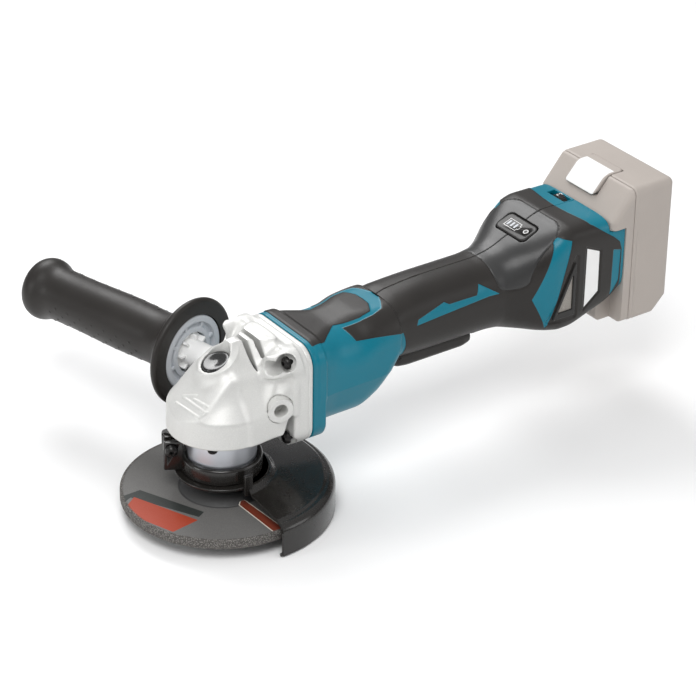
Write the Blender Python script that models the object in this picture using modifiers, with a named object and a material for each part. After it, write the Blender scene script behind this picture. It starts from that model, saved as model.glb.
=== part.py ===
"""Battery angle grinder for 125 mm wheels, with a paddle switch.

The frame is the tool's own: Z runs up the spindle, X runs from the wheel back along the motor and
grip to the battery, and the auxiliary handle leans out to +Y. The origin is the centre of the
spindle's end face. Every size is in metres.
"""
import math

import bmesh
import bpy
from mathutils import Matrix, Vector

MM = 0.001

# Driving dimensions
GAP = 0.3 * MM
WHEEL_RADIUS = 62.5 * MM
WHEEL_THICKNESS = 6.0 * MM
HUB_RISE = 5.0 * MM
WHEEL_BORE = 11.1 * MM
THREAD_RADIUS = 6.9 * MM
SHOULDER_RADIUS = 9.0 * MM
JOURNAL_RADIUS = 6.0 * MM
TIP_RADIUS = 4.0 * MM
NECK_RADIUS = 21.5 * MM
NECK_BOTTOM = 19.5 * MM
NECK_TOP = 49.0 * MM
GUARD_REACH = 7.0 * MM
GUARD_RIM_TOP = 13.2 * MM
GUARD_BOTTOM = -8.2 * MM
GUARD_SHEET = 1.8 * MM
MOTOR_Z = 68.4 * MM
FLANGE_X = 44.6 * MM
FLANGE_HALF = 33.0 * MM
FLANGE_CORNER = 13.0 * MM
NOSE_RADIUS = 33.0 * MM
GEAR_TEETH = 37
PINION_TEETH = 12
GEAR_RADIUS = 20.5 * MM
FACE_WIDTH = 6.2 * MM
MOTOR_END = 113.0 * MM
MOTOR_BORE = 27.0 * MM
STATOR_CLEARANCE = 1.5 * MM
FAN_CLEARANCE = 3.0 * MM
ROTOR_RADIUS = 13.5 * MM
SHAFT_RADIUS = 4.0 * MM
GRIP_HALF = 24.0 * MM
GRIP_TOP = 108.5 * MM
GRIP_BOTTOM = 60.0 * MM
SHELL_WALL = 2.6 * MM
BASE_HALF = 36.6 * MM
BASE_END = 281.8 * MM
BASE_TOP = 126.6 * MM
PACK_HALF = 37.5 * MM
PACK_END = 320.4 * MM
PACK_TOP = 143.2 * MM
PACK_BOTTOM = 48.0 * MM
PACK_WALL = 1.8 * MM
RAIL_HALF = 25.0 * MM
RAIL_FRONT = 270.0 * MM
SEAM_X = 288.0 * MM
HANDLE_TILT = math.radians(15.0)
HANDLE_X = 29.5 * MM
SOCKET_FACE = 36.0 * MM
SOCKET_RADIUS = 8.0 * MM
STUD_RADIUS = 4.0 * MM
HANDLE_GUARD_RADIUS = 35.3 * MM
HANDLE_END = 193.0 * MM
PADDLE_FRONT = 116.6 * MM
PADDLE_END = 177.0 * MM
PADDLE_HALF = 17.0 * MM
PADDLE_BOTTOM = 56.4 * MM
PADDLE_PIVOT = (122.0 * MM, 63.0 * MM)
DIAL_RADIUS = 8.0 * MM
DIAL_PLACE = (264.5 * MM, 10.0 * MM)
BUTTON_RADIUS = 8.3 * MM
BUTTON_X = -3.5 * MM
LOCK_TRAVEL = 4.0 * MM
LEVER_PIVOT = (141.0 * MM, 60.6 * MM)
GAUGE_TILT = math.radians(20.0)
GAUGE_CENTRE = Vector((222.6 * MM, 0, 119.2 * MM))
RELEASE_DROP = 3.0 * MM
RELEASE_Y = 4.0 * MM
BOLT_OFFSET = 3.3 * MM
LUG_RADIUS = 4.4 * MM
LUG_CLEARANCE = 0.8 * MM
CLAMP_ANGLE = math.radians(150.0)
EAR_TOP = 41.0 * MM
BLADE_COUNT = 9
CELL_COUNT = 5

# Sizes that follow from those above
GUARD_RADIUS = WHEEL_RADIUS + GUARD_REACH
STATOR_RADIUS = MOTOR_BORE - STATOR_CLEARANCE
FAN_RADIUS = MOTOR_BORE - FAN_CLEARANCE
BOLT_RADIUS = NECK_RADIUS + BOLT_OFFSET
HUB_TOP = HUB_RISE + WHEEL_THICKNESS
INNER_FLANGE_TOP = HUB_TOP + 6.3 * MM
BEARING_BOTTOM = NECK_BOTTOM + 11.5 * MM
BEARING_RADIUS = NECK_RADIUS - 5.5 * MM
BEARING_WIDTH = 10.0 * MM
SEAT_TOP = BEARING_BOTTOM + BEARING_WIDTH + 2.8 * MM
CHAMBER_RADIUS = GEAR_RADIUS + 3.0 * MM
SEAT_RADIUS = max(CHAMBER_RADIUS - 4.5 * MM, BEARING_RADIUS + GAP)
PINION_CONE = math.atan2(PINION_TEETH, GEAR_TEETH)
CONE_LENGTH = GEAR_RADIUS / math.cos(PINION_CONE)
SCREW_OFFSET = FLANGE_HALF - 7.2 * MM
FLANGE_FRONT = FLANGE_X - 13.6 * MM
LOCK_PIN_X = BUTTON_X - 6.5 * MM

COLOURS = {
    "cast_silver": ((0.66, 0.66, 0.64), 0.42, 0.85),
    "neck_silver": ((0.62, 0.64, 0.68), 0.35, 0.9),
    "steel": ((0.52, 0.52, 0.53), 0.35, 1.0),
    "guard_black": ((0.020, 0.019, 0.018), 0.30, 0.6),
    "screw_black": ((0.03, 0.03, 0.03), 0.35, 0.8),
    "teal": ((0.0, 0.21, 0.31), 0.38, 0.0),
    "rubber": ((0.040, 0.037, 0.034), 0.55, 0.0),
    "black_plastic": ((0.025, 0.025, 0.025), 0.35, 0.0),
    "abrasive": ((0.16, 0.15, 0.14), 0.95, 0.0),
    "copper": ((0.72, 0.33, 0.16), 0.4, 1.0),
    "laminations": ((0.35, 0.35, 0.37), 0.45, 0.9),
    "white_plastic": ((0.85, 0.85, 0.84), 0.4, 0.0),
    "grey_ring": ((0.55, 0.57, 0.60), 0.4, 0.2),
    "mesh_grey": ((0.45, 0.44, 0.42), 0.5, 0.7),
    "pack_greige": ((0.48, 0.43, 0.39), 0.5, 0.0),
    "cell_green": ((0.05, 0.25, 0.20), 0.4, 0.0),
}


def clear_scene():
    for obj in list(bpy.data.objects):
        bpy.data.objects.remove(obj, do_unlink=True)


def new_collection(name):
    made = bpy.data.collections.new(name)
    bpy.context.scene.collection.children.link(made)
    return made


clear_scene()
PIECES = new_collection("angle_grinder")
HELPERS = new_collection("cutters")
HELPERS.hide_render = True


def material(name):
    """The material of this colour name, made once."""
    found = bpy.data.materials.get(name)
    if found:
        return found
    colour, roughness, metallic = COLOURS[name]
    made = bpy.data.materials.new(name)
    made.use_nodes = True
    shader = made.node_tree.nodes["Principled BSDF"]
    shader.inputs["Base Color"].default_value = (*colour, 1.0)
    shader.inputs["Roughness"].default_value = roughness
    shader.inputs["Metallic"].default_value = metallic
    made.diffuse_color = (*colour, 1.0)
    return made


def link(name, mesh, look):
    """An object of this mesh. With no look it is a helper: a cutter or a shape to join."""
    obj = bpy.data.objects.new(name, mesh)
    if look is None:
        HELPERS.objects.link(obj)
        obj.hide_render = True
        obj.display_type = "WIRE"
        return obj
    mesh.materials.append(material(look))
    PIECES.objects.link(obj)
    return obj


def from_bmesh(name, shape, look=None, angle=35.0):
    bmesh.ops.recalc_face_normals(shape, faces=shape.faces)
    mesh = bpy.data.meshes.new(name)
    shape.to_mesh(mesh)
    shape.free()
    mesh.shade_smooth()
    mesh.set_sharp_from_angle(angle=math.radians(angle))
    return link(name, mesh, look)


def along(direction):
    """The rotation that turns +Z to this direction."""
    return Vector(direction).to_track_quat("Z", "Y").to_matrix().to_4x4()


def cylinder(name, radius, start, end, look=None, steps=24, end_radius=None):
    """A cylinder or cone from one point to another."""
    start, end = Vector(start), Vector(end)
    shape = bmesh.new()
    matrix = Matrix.Translation((start + end) / 2) @ along(end - start)
    bmesh.ops.create_cone(
        shape, cap_ends=True, segments=steps, radius1=radius,
        radius2=radius if end_radius is None else end_radius,
        depth=(end - start).length, matrix=matrix,
    )
    return from_bmesh(name, shape, look)


def box(name, low, high, look=None, bevel=0.0):
    low, high = Vector(low), Vector(high)
    shape = bmesh.new()
    matrix = Matrix.Translation((low + high) / 2) @ Matrix.Diagonal((*(high - low), 1.0))
    bmesh.ops.create_cube(shape, size=1.0, matrix=matrix)
    obj = from_bmesh(name, shape, look)
    if bevel:
        rounding = obj.modifiers.new("rounding", "BEVEL")
        rounding.width = bevel
        rounding.segments = 2
    return obj


def turned(name, profile, look=None, steps=28, centre=(0, 0, 0), turn=None, ring=True):
    """A turned piece. The profile's points are (radius, height), top to bottom on the outer side."""
    mesh = bpy.data.meshes.new(name)
    count = len(profile)
    edges = [(k, k + 1) for k in range(count - 1)] + ([(count - 1, 0)] if ring else [])
    mesh.from_pydata([(r, 0.0, z) for r, z in profile], edges, [])
    obj = link(name, mesh, look)
    screw = obj.modifiers.new("turning", "SCREW")
    screw.axis = "Z"
    screw.steps = screw.render_steps = steps
    screw.use_merge_vertices = True
    screw.merge_threshold = 0.00001
    screw.use_smooth_shade = True
    obj.location = centre
    if turn is not None:
        obj.rotation_mode = "QUATERNION"
        obj.rotation_quaternion = turn
    return obj


def ring(name, inner, outer, low, high, look=None, steps=28, centre=(0, 0, 0), turn=None):
    """A plain ring: a bearing, a washer or a collar."""
    profile = [(outer, high), (outer, low), (inner, low), (inner, high)]
    return turned(name, profile, look, steps, centre, turn)


def loft(name, rings, look=None, angle=35.0):
    """A closed skin over rings of points, each ring with the same number of points."""
    shape = bmesh.new()
    rows = [[shape.verts.new(point) for point in row] for row in rings]
    count = len(rows[0])
    for near, far in zip(rows, rows[1:]):
        for k in range(count):
            shape.faces.new((near[k], near[(k + 1) % count], far[(k + 1) % count], far[k]))
    shape.faces.new(rows[0])
    shape.faces.new(rows[-1])
    return from_bmesh(name, shape, look, angle)


def hull(name, points, look=None, angle=30.0):
    shape = bmesh.new()
    for point in points:
        shape.verts.new(point)
    made = bmesh.ops.convex_hull(shape, input=shape.verts)
    bmesh.ops.delete(shape, geom=[v for v in made["geom_interior"] if v.is_valid], context="VERTS")
    bmesh.ops.dissolve_limit(shape, angle_limit=math.radians(0.5), verts=shape.verts, edges=shape.edges)
    return from_bmesh(name, shape, look, angle)


def plate(name, outline, low_y, high_y, look=None):
    """A flat outline of (x, z) points, standing in the XZ plane, from low_y to high_y."""
    curve = bpy.data.curves.new(name, "CURVE")
    curve.dimensions = "2D"
    curve.fill_mode = "BOTH"
    curve.extrude = (high_y - low_y) / 2
    spline = curve.splines.new("POLY")
    spline.points.add(len(outline) - 1)
    for point, (x, z) in zip(spline.points, outline):
        point.co = (x, z, 0.0, 1.0)
    spline.use_cyclic_u = True
    turn = Matrix.Rotation(math.pi / 2, 4, "X")
    return meshed(name, curve, Matrix.Translation((0, (low_y + high_y) / 2, 0)) @ turn, look)


def meshed(name, curve, matrix, look):
    """A curve turned into a mesh with its caps welded."""
    guide = bpy.data.objects.new(name + "_guide", curve)
    bpy.context.scene.collection.objects.link(guide)
    guide.matrix_world = matrix
    bpy.context.view_layer.update()
    mesh = bpy.data.meshes.new_from_object(guide.evaluated_get(bpy.context.evaluated_depsgraph_get()))
    shape = bmesh.new()
    shape.from_mesh(mesh)
    bmesh.ops.remove_doubles(shape, verts=shape.verts, dist=0.000005)
    bmesh.ops.transform(shape, matrix=matrix, verts=shape.verts)
    bpy.data.objects.remove(guide, do_unlink=True)
    return from_bmesh(name, shape, look)


def tube(name, points, radius, look, sides=2):
    """A wire or spring through these points."""
    curve = bpy.data.curves.new(name, "CURVE")
    curve.dimensions = "3D"
    curve.bevel_depth = radius
    curve.bevel_resolution = sides
    curve.use_fill_caps = True
    spline = curve.splines.new("POLY")
    spline.points.add(len(points) - 1)
    for point, place in zip(spline.points, points):
        point.co = (*place, 1.0)
    return meshed(name, curve, Matrix.Identity(4), look)


def coil(name, centre, radius, wire, low, high, turns, look):
    """A compression spring standing on the Z axis through the centre."""
    steps = turns * 8
    points = []
    for k in range(steps + 1):
        turn = 2 * math.pi * k / 8
        height = low + wire + (high - low - 2 * wire) * k / steps
        points.append((centre[0] + radius * math.cos(turn), centre[1] + radius * math.sin(turn), height))
    return tube(name, points, wire, look, sides=1)


def boolean(target, other, operation):
    change = target.modifiers.new(operation.lower(), "BOOLEAN")
    change.operation = operation
    change.object = other


def cut(target, *cutters):
    for cutter in cutters:
        boolean(target, cutter, "DIFFERENCE")
    return target


def join(target, *others):
    for other in others:
        boolean(target, other, "UNION")
    return target


def joint_empty(name, place, *pieces):
    """An empty on a joint's axis, which carries the joint's moving pieces."""
    empty = bpy.data.objects.new(name, None)
    empty.location = place
    PIECES.objects.link(empty)
    bpy.context.view_layer.update()
    for piece in pieces:
        piece.parent = empty
        piece.matrix_parent_inverse = empty.matrix_world.inverted()
    return empty


def rounded_square(x, half_y, half_z, corner, middle_z, steps=4):
    """A rounded rectangle in the plane at x."""
    points = []
    for k, (side_y, side_z) in enumerate(((1, 1), (-1, 1), (-1, -1), (1, -1))):
        for step in range(steps):
            turn = math.pi / 2 * (k + step / (steps - 1))
            y = side_y * (half_y - corner) + corner * math.cos(turn)
            z = side_z * (half_z - corner) + corner * math.sin(turn)
            points.append((x, y, middle_z + z))
    return points


def oval(x, half_y, top, bottom, power=2.6, steps=24):
    """A soft-cornered oval in the plane at x, from bottom to top."""
    points = []
    middle, half_z = (top + bottom) / 2, (top - bottom) / 2
    for step in range(steps):
        turn = 2 * math.pi * (step + 0.5) / steps
        y = math.copysign(abs(math.cos(turn)) ** (2 / power), math.cos(turn))
        z = math.copysign(abs(math.sin(turn)) ** (2 / power), math.sin(turn))
        points.append((x, half_y * y, middle + half_z * z))
    return points


def circle(radius, z, steps=24):
    turns = [2 * math.pi * (k + 0.5) / steps for k in range(steps)]
    return [(radius * math.cos(turn), radius * math.sin(turn), z) for turn in turns]


# Spindle, wheel and their fixings

def build_spindle():
    profile = [
        (0.0, MOTOR_Z + 6.2 * MM), (TIP_RADIUS, MOTOR_Z + 6.2 * MM), (TIP_RADIUS, MOTOR_Z - 3.6 * MM),
        (JOURNAL_RADIUS, MOTOR_Z - 3.6 * MM), (JOURNAL_RADIUS, BEARING_BOTTOM - 0.3 * MM),
        (SHOULDER_RADIUS, BEARING_BOTTOM - 0.3 * MM), (SHOULDER_RADIUS, INNER_FLANGE_TOP + GAP),
        (THREAD_RADIUS, INNER_FLANGE_TOP + GAP), (THREAD_RADIUS, 1.0 * MM),
        (THREAD_RADIUS - 1.0 * MM, 0.0),
        (0.0, 0.0),
    ]
    return turned("spindle", profile, "steel", 20, ring=False)


def build_inner_flange():
    bore = THREAD_RADIUS + GAP
    profile = [
        (14.0 * MM, INNER_FLANGE_TOP), (17.0 * MM, INNER_FLANGE_TOP - 2.5 * MM),
        (17.0 * MM, HUB_TOP + GAP),
        (WHEEL_BORE - GAP, HUB_TOP + GAP), (WHEEL_BORE - GAP, HUB_TOP - 2.8 * MM),
        (bore, HUB_TOP - 2.8 * MM),
        (bore, INNER_FLANGE_TOP),
    ]
    return turned("inner_flange", profile, "steel", 24)


def build_wheel():
    """A depressed-centre wheel: its hub stands HUB_RISE above its working face."""
    profile = [
        (19.5 * MM, HUB_TOP), (25.5 * MM, WHEEL_THICKNESS), (WHEEL_RADIUS - 0.6 * MM, WHEEL_THICKNESS),
        (WHEEL_RADIUS, WHEEL_THICKNESS - 0.8 * MM), (WHEEL_RADIUS, 0.0), (24.0 * MM, 0.0),
        (18.0 * MM, HUB_RISE), (WHEEL_BORE, HUB_RISE), (WHEEL_BORE, HUB_TOP),
    ]
    return turned("grinding_wheel", profile, "abrasive", 44)


def build_lock_nut():
    bore = THREAD_RADIUS + GAP
    top = HUB_RISE - GAP
    profile = [
        (WHEEL_BORE - GAP, top + 2.9 * MM), (WHEEL_BORE - GAP, top), (17.0 * MM, top),
        (17.0 * MM, top - 2.4 * MM),
        (14.0 * MM, -0.6 * MM), (bore, -0.6 * MM), (bore, top + 2.9 * MM),
    ]
    nut = turned("lock_nut", profile, "steel", 24)
    holes = [cylinder(f"nut_hole_{side}", 2.2 * MM, (0, side * 11.5 * MM, -3 * MM),
        (0, side * 11.5 * MM, 2 * MM), steps=12)
             for side in (-1, 1)]
    return cut(nut, *holes)


def toothed_cone(name, teeth, cone, look, depth, bore):
    """A bevel gear about local Z with its pitch cone's apex at the local origin, opening towards -Z.

    The teeth stop at the pitch cone, so that two such gears meet there and never overlap.
    """
    clear = 0.12 * MM
    rows = []
    for reach in (CONE_LENGTH - FACE_WIDTH, CONE_LENGTH):
        row = []
        for k in range(teeth * 2):
            low = k % 2 == 0
            lift = -(depth * reach / CONE_LENGTH) - clear if low else -clear
            radius = reach * math.sin(cone) + lift * math.cos(cone)
            height = -reach * math.cos(cone) + lift * math.sin(cone)
            turn = 2 * math.pi * (k + 0.5) / (teeth * 2)
            row.append((radius * math.cos(turn), radius * math.sin(turn), height))
        rows.append(row)
    back = rows[-1]
    drop = 3.0 * MM if cone > math.pi / 4 else 1.2 * MM
    rows.append([(x * 0.9, y * 0.9, z - drop) for x, y, z in back])
    gear = loft(name, rows, look, angle=20.0)
    low = rows[-1][0][2] - 5.0 * MM
    return cut(gear, cylinder(name + "_bore", bore, (0, 0, low), (0, 0, 5.0 * MM), steps=24))


def build_bevel_gear():
    gear_cone = math.pi / 2 - PINION_CONE
    gear = toothed_cone("bevel_gear", GEAR_TEETH, gear_cone, "steel", 1.5 * MM, JOURNAL_RADIUS + GAP)
    for obj in (gear, gear.modifiers[0].object):
        obj.location = (0, 0, MOTOR_Z)
    gear_back = MOTOR_Z - CONE_LENGTH * math.sin(PINION_CONE) - 4.0 * MM
    hub = ring("gear_hub", JOURNAL_RADIUS + GAP, 11.0 * MM, SEAT_TOP + 3.6 * MM, gear_back, None, 24)
    join(gear, hub)
    face = MOTOR_Z - (CONE_LENGTH - FACE_WIDTH) * math.sin(PINION_CONE)
    for k in range(4):
        turn = math.pi / 2 * k
        x, y = LOCK_PIN_X * math.cos(turn), LOCK_PIN_X * math.sin(turn)
        cut(gear, cylinder(f"lock_hole_{k}", 2.5 * MM, (x, y, face - 5.2 * MM), (x, y, face + 3 * MM),
            steps=12))
    return gear


# Rotor

def build_rotor():
    turn = along((1, 0, 0)).to_quaternion()
    place = (0, 0, MOTOR_Z)
    shaft = turned("rotor_shaft", [
        (0.0, 100.4 * MM), (3.0 * MM, 100.4 * MM), (3.0 * MM, 94.5 * MM), (SHAFT_RADIUS, 94.5 * MM),
        (SHAFT_RADIUS, 37.0 * MM), (3.4 * MM, 37.0 * MM), (3.4 * MM, 11.5 * MM), (0.0, 11.5 * MM),
    ], "steel", 16, place, turn, ring=False)
    core = ring("rotor_core", SHAFT_RADIUS + GAP, ROTOR_RADIUS, 62.0 * MM, 90.0 * MM, "laminations", 24,
        place, turn)
    pinion = toothed_cone("bevel_pinion", PINION_TEETH, PINION_CONE, "steel", 1.3 * MM, 3.4 * MM + GAP)
    for obj in (pinion, pinion.modifiers[0].object):
        obj.rotation_euler = (0, -math.pi / 2, 0)
        obj.location = place
    return shaft, core, pinion


def build_fan():
    """A radial fan: a back plate, a hub and swept blades."""
    front, back = 48.0 * MM, 58.0 * MM
    axis = Vector((0, 0, MOTOR_Z))

    def at(x):
        return (x, 0, MOTOR_Z)

    fan = cylinder("cooling_fan", FAN_RADIUS, at(back - 1.8 * MM), at(back), "black_plastic", 24)
    join(fan, cylinder("fan_hub", 8.0 * MM, at(front), at(back), None, 24))
    for k in range(BLADE_COUNT):
        blade = box(f"fan_blade_{k}", (front + 1.0 * MM, 7.0 * MM, -0.7 * MM),
            (back - 1.0 * MM, FAN_RADIUS - 0.6 * MM, 0.7 * MM))
        blade.location = axis
        blade.rotation_euler = (2 * math.pi * (k + 0.5) / BLADE_COUNT, 0, 0)
        join(fan, blade)
    return cut(fan, cylinder("fan_bore", SHAFT_RADIUS + GAP, at(front - MM), at(back + MM), None, 20))


# Guard

def build_guard():
    """A half-round pressed guard on a full collar."""
    top, edge = GUARD_RIM_TOP, GUARD_RADIUS
    outer = [(NECK_RADIUS + 6.5 * MM, 20.0 * MM), (NECK_RADIUS + 13.5 * MM, 15.4 * MM),
        (edge - 9.5 * MM, top + 0.9 * MM), (edge - 4.5 * MM, top)]
    rounding = 4.0 * MM
    for k in range(1, 4):
        turn = math.pi / 2 * k / 3
        outer.append((edge - rounding + rounding * math.sin(turn),
            top - rounding + rounding * math.cos(turn)))
    outer.append((edge, GUARD_BOTTOM))
    inner = [(r - GUARD_SHEET, z) for r, z in (outer[-1], outer[-2])]
    inner += [(r - GUARD_SHEET * 0.7, z - GUARD_SHEET * 0.7) for r, z in (outer[-3], outer[-4])]
    inner += [(r, z - GUARD_SHEET) for r, z in reversed(outer[:4])]
    guard = turned("wheel_guard", outer + inner, "guard_black", 48)
    reach = GUARD_RADIUS + 5 * MM
    cut(guard, box("guard_opening", (-reach, -reach, -30 * MM), (-0.6 * MM, reach, 40 * MM)))
    web = ring("guard_web", NECK_RADIUS + GAP, NECK_RADIUS + 7.5 * MM, 18.2 * MM, 20.0 * MM, None, 32)
    return join(guard, web)


def build_guard_collar():
    """The collar that clamps the guard to the neck, with two ears and its screw."""
    collar = ring("guard_collar", NECK_RADIUS + GAP, NECK_RADIUS + 3.6 * MM, 20.3 * MM, 30.6 * MM,
        "guard_black", 32)
    ears = []
    ear_place = Matrix.Rotation(CLAMP_ANGLE, 4, "Z")
    for name, low, high in (("near", -5.2 * MM, -1.4 * MM), ("far", 1.4 * MM, 5.2 * MM)):
        ear = box(f"collar_ear_{name}", (NECK_RADIUS + 1.5 * MM, low, 20.3 * MM),
            (NECK_RADIUS + 14 * MM, high, EAR_TOP))
        ear.matrix_world = ear_place
        ears.append(ear)
    join(collar, *ears)
    split = box("collar_split", (NECK_RADIUS - 3 * MM, -1.0 * MM, 15 * MM),
        (NECK_RADIUS + 5 * MM, 1.0 * MM, 40 * MM))
    split.matrix_world = ear_place
    axis, lift = NECK_RADIUS + 9 * MM, EAR_TOP - 6.0 * MM
    bore = cylinder("collar_bore", 2.3 * MM, (axis, -9 * MM, lift), (axis, 9 * MM, lift), None, 16)
    bore.matrix_world = ear_place
    cut(collar, split, bore)
    screw = cylinder("guard_screw", 4.0 * MM, (axis, 5.6 * MM, lift), (axis, 9.2 * MM, lift),
        "screw_black", 14)
    screw.matrix_world = ear_place
    shank = cylinder("guard_screw_shank", 2.0 * MM, (axis, -7.5 * MM, lift), (axis, 6 * MM, lift),
        None, 16)
    shank.matrix_world = ear_place
    join(screw, shank)
    return collar, screw


# Gear housing and bearing box

def neck_lugs(radius, low, high):
    """Points of the square neck plate: four lugs on the diagonals."""
    points = []
    for k in range(4):
        turn = math.pi / 4 + math.pi / 2 * k
        for x, y, _ in circle(radius, 0, 8):
            for z in (low, high):
                points.append((BOLT_RADIUS * math.cos(turn) + x, BOLT_RADIUS * math.sin(turn) + y, z))
    return points


def build_bearing_box():
    box_body = hull("bearing_box", neck_lugs(LUG_RADIUS, NECK_TOP - 3.0 * MM, NECK_TOP), "neck_silver")
    join(box_body, cylinder("neck", NECK_RADIUS, (0, 0, NECK_BOTTOM), (0, 0, NECK_TOP - MM), None, 32))
    join(box_body, cylinder("spigot", CHAMBER_RADIUS - GAP, (0, 0, NECK_TOP - MM),
        (0, 0, NECK_TOP + 3.4 * MM), None, 32))
    bore = turned("neck_bore", [
        (0.0, 60 * MM), (SEAT_RADIUS, 60 * MM), (SEAT_RADIUS, SEAT_TOP),
        (BEARING_RADIUS + GAP, SEAT_TOP), (BEARING_RADIUS + GAP, BEARING_BOTTOM - 0.4 * MM),
        (SHOULDER_RADIUS + 0.4 * MM, BEARING_BOTTOM - 0.4 * MM), (SHOULDER_RADIUS + 0.4 * MM, 10 * MM),
        (0.0, 10 * MM),
    ], None, 28, ring=False)
    cut(box_body, bore)
    for k in range(4):
        x, y = neck_screw_place(k)
        cut(box_body, cylinder(f"neck_screw_hole_{k}", 1.9 * MM, (x, y, 40 * MM), (x, y, 60 * MM), None,
            12))
    return box_body


def neck_screw_place(k):
    turn = math.pi / 4 + math.pi / 2 * k
    return BOLT_RADIUS * math.cos(turn), BOLT_RADIUS * math.sin(turn)


def build_neck_screw(k):
    x, y = neck_screw_place(k)
    low = NECK_TOP - 3.0 * MM - GAP
    screw = cylinder(f"neck_screw_{k + 1}", 3.1 * MM, (x, y, low - 2.4 * MM), (x, y, low), "screw_black",
        12)
    return join(screw, cylinder(f"neck_shank_{k}", 1.6 * MM, (x, y, low - MM),
        (x, y, NECK_TOP + 8.0 * MM), None, 12))


def socket_way(side):
    """The direction of the handle socket on this side."""
    return Vector((-math.sin(HANDLE_TILT), side * math.cos(HANDLE_TILT), 0))


def socket_point(side, distance):
    """The point this far out along the handle socket's axis, from the middle plane."""
    return Vector((HANDLE_X, 0, MOTOR_Z)) + socket_way(side) * distance


def build_gear_housing():
    """The cast housing: a round nose over the spindle, a sloping brow and a square rear flange."""
    low = NECK_TOP + GAP
    nose = circle(NOSE_RADIUS - 1.6 * MM, low) + circle(NOSE_RADIUS, low + 3.0 * MM)
    nose += circle(NOSE_RADIUS, MOTOR_Z - 2.0 * MM)
    brow = [(-14.0, 13.0, 83.5), (-9.0, 18.0, 86.0), (-3.0, 15.0, 93.0), (8.0, 20.0, 95.0),
        (8.0, 12.0, 98.0), (22.0, 14.0, 99.6)]
    for x, y, z in brow:
        nose += [(x * MM, y * MM, z * MM), (x * MM, -y * MM, z * MM)]
    waist = rounded_square(FLANGE_FRONT + 2 * MM, FLANGE_HALF - 4 * MM, FLANGE_HALF - 2 * MM, 16 * MM,
        MOTOR_Z)
    housing = hull("gear_housing", nose + waist, "cast_silver")
    flange = [rounded_square(x, FLANGE_HALF - inset, FLANGE_HALF - inset, FLANGE_CORNER, MOTOR_Z)
              for x, inset in ((FLANGE_FRONT, 1.0 * MM), (FLANGE_FRONT + 1.5 * MM, 0.0), (FLANGE_X, 0.0))]
    join(housing, loft("rear_flange", flange))
    for side in (-1, 1):
        root, face = socket_point(side, 20 * MM), socket_point(side, SOCKET_FACE)
        join(housing, cylinder(f"socket_boss_{side}", SOCKET_RADIUS, root, face, None, 20))
    chamber = turned("gear_chamber", [
        (0.0, MOTOR_Z + 2.6 * MM), (17.0 * MM, MOTOR_Z + 2.6 * MM), (CHAMBER_RADIUS, MOTOR_Z - 3.4 * MM),
        (CHAMBER_RADIUS, 40 * MM), (0.0, 40 * MM),
    ], None, 28, ring=False)
    tunnel_front, tunnel_back = Vector((9.5 * MM, 0, MOTOR_Z)), Vector((FLANGE_X + 5 * MM, 0, MOTOR_Z))
    tunnel = cylinder("rear_tunnel", CHAMBER_RADIUS + 1.5 * MM, tunnel_front, tunnel_back, None, 28)
    undercut = cylinder("neck_clearance", BOLT_RADIUS + LUG_RADIUS + LUG_CLEARANCE, (0, 0, 10 * MM),
        (0, 0, low), None, 28)
    cut(housing, chamber, tunnel, undercut)
    boss = ring("needle_boss", TIP_RADIUS + 3.3 * MM, 9.2 * MM, MOTOR_Z - 1.8 * MM, MOTOR_Z + 12 * MM,
        None, 20)
    join(housing, boss)
    pocket = cylinder("needle_bore", TIP_RADIUS + 3.3 * MM, (0, 0, MOTOR_Z - 4 * MM),
        (0, 0, MOTOR_Z + 6.8 * MM), None, 20)
    lock_pocket = cylinder("lock_pocket", BUTTON_RADIUS + GAP, (BUTTON_X, 0, lock_floor()),
        (BUTTON_X, 0, 110 * MM), None, 20)
    lock_bore = cylinder("lock_bore", 2.0 * MM + GAP, (LOCK_PIN_X, 0, 60 * MM), (LOCK_PIN_X, 0, 90 * MM),
        None, 16)
    cut(housing, pocket, lock_pocket, lock_bore)
    for k in range(4):
        y, z = corner_place(k)
        cut(housing, cylinder(f"flange_hole_{k}", 2.3 * MM, (20 * MM, y, z), (FLANGE_X + 2 * MM, y, z),
            None, 14))
        cut(housing, cylinder(f"flange_seat_{k}", 4.6 * MM, (8 * MM, y, z),
            (FLANGE_FRONT + 0.4 * MM, y, z), None, 20))
        x, y = neck_screw_place(k)
        cut(housing, cylinder(f"neck_tap_{k}", 1.9 * MM, (x, y, 45 * MM), (x, y, NECK_TOP + 8.6 * MM),
            None, 12))
    for side in (-1, 1):
        floor, mouth = socket_point(side, 27.6 * MM), socket_point(side, SOCKET_FACE + 5 * MM)
        cut(housing, cylinder(f"socket_{side}", STUD_RADIUS + GAP, floor, mouth, None, 24))
    for x, y in ((19.0, 13.0), (11.0, 13.0)):
        cut(housing, box(f"vent_{int(x)}", ((x - 1.3) * MM, -y * MM, 84 * MM),
            ((x + 1.3) * MM, y * MM, 112 * MM)))
    return housing


def lock_floor():
    return MOTOR_Z + 9.9 * MM


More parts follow.
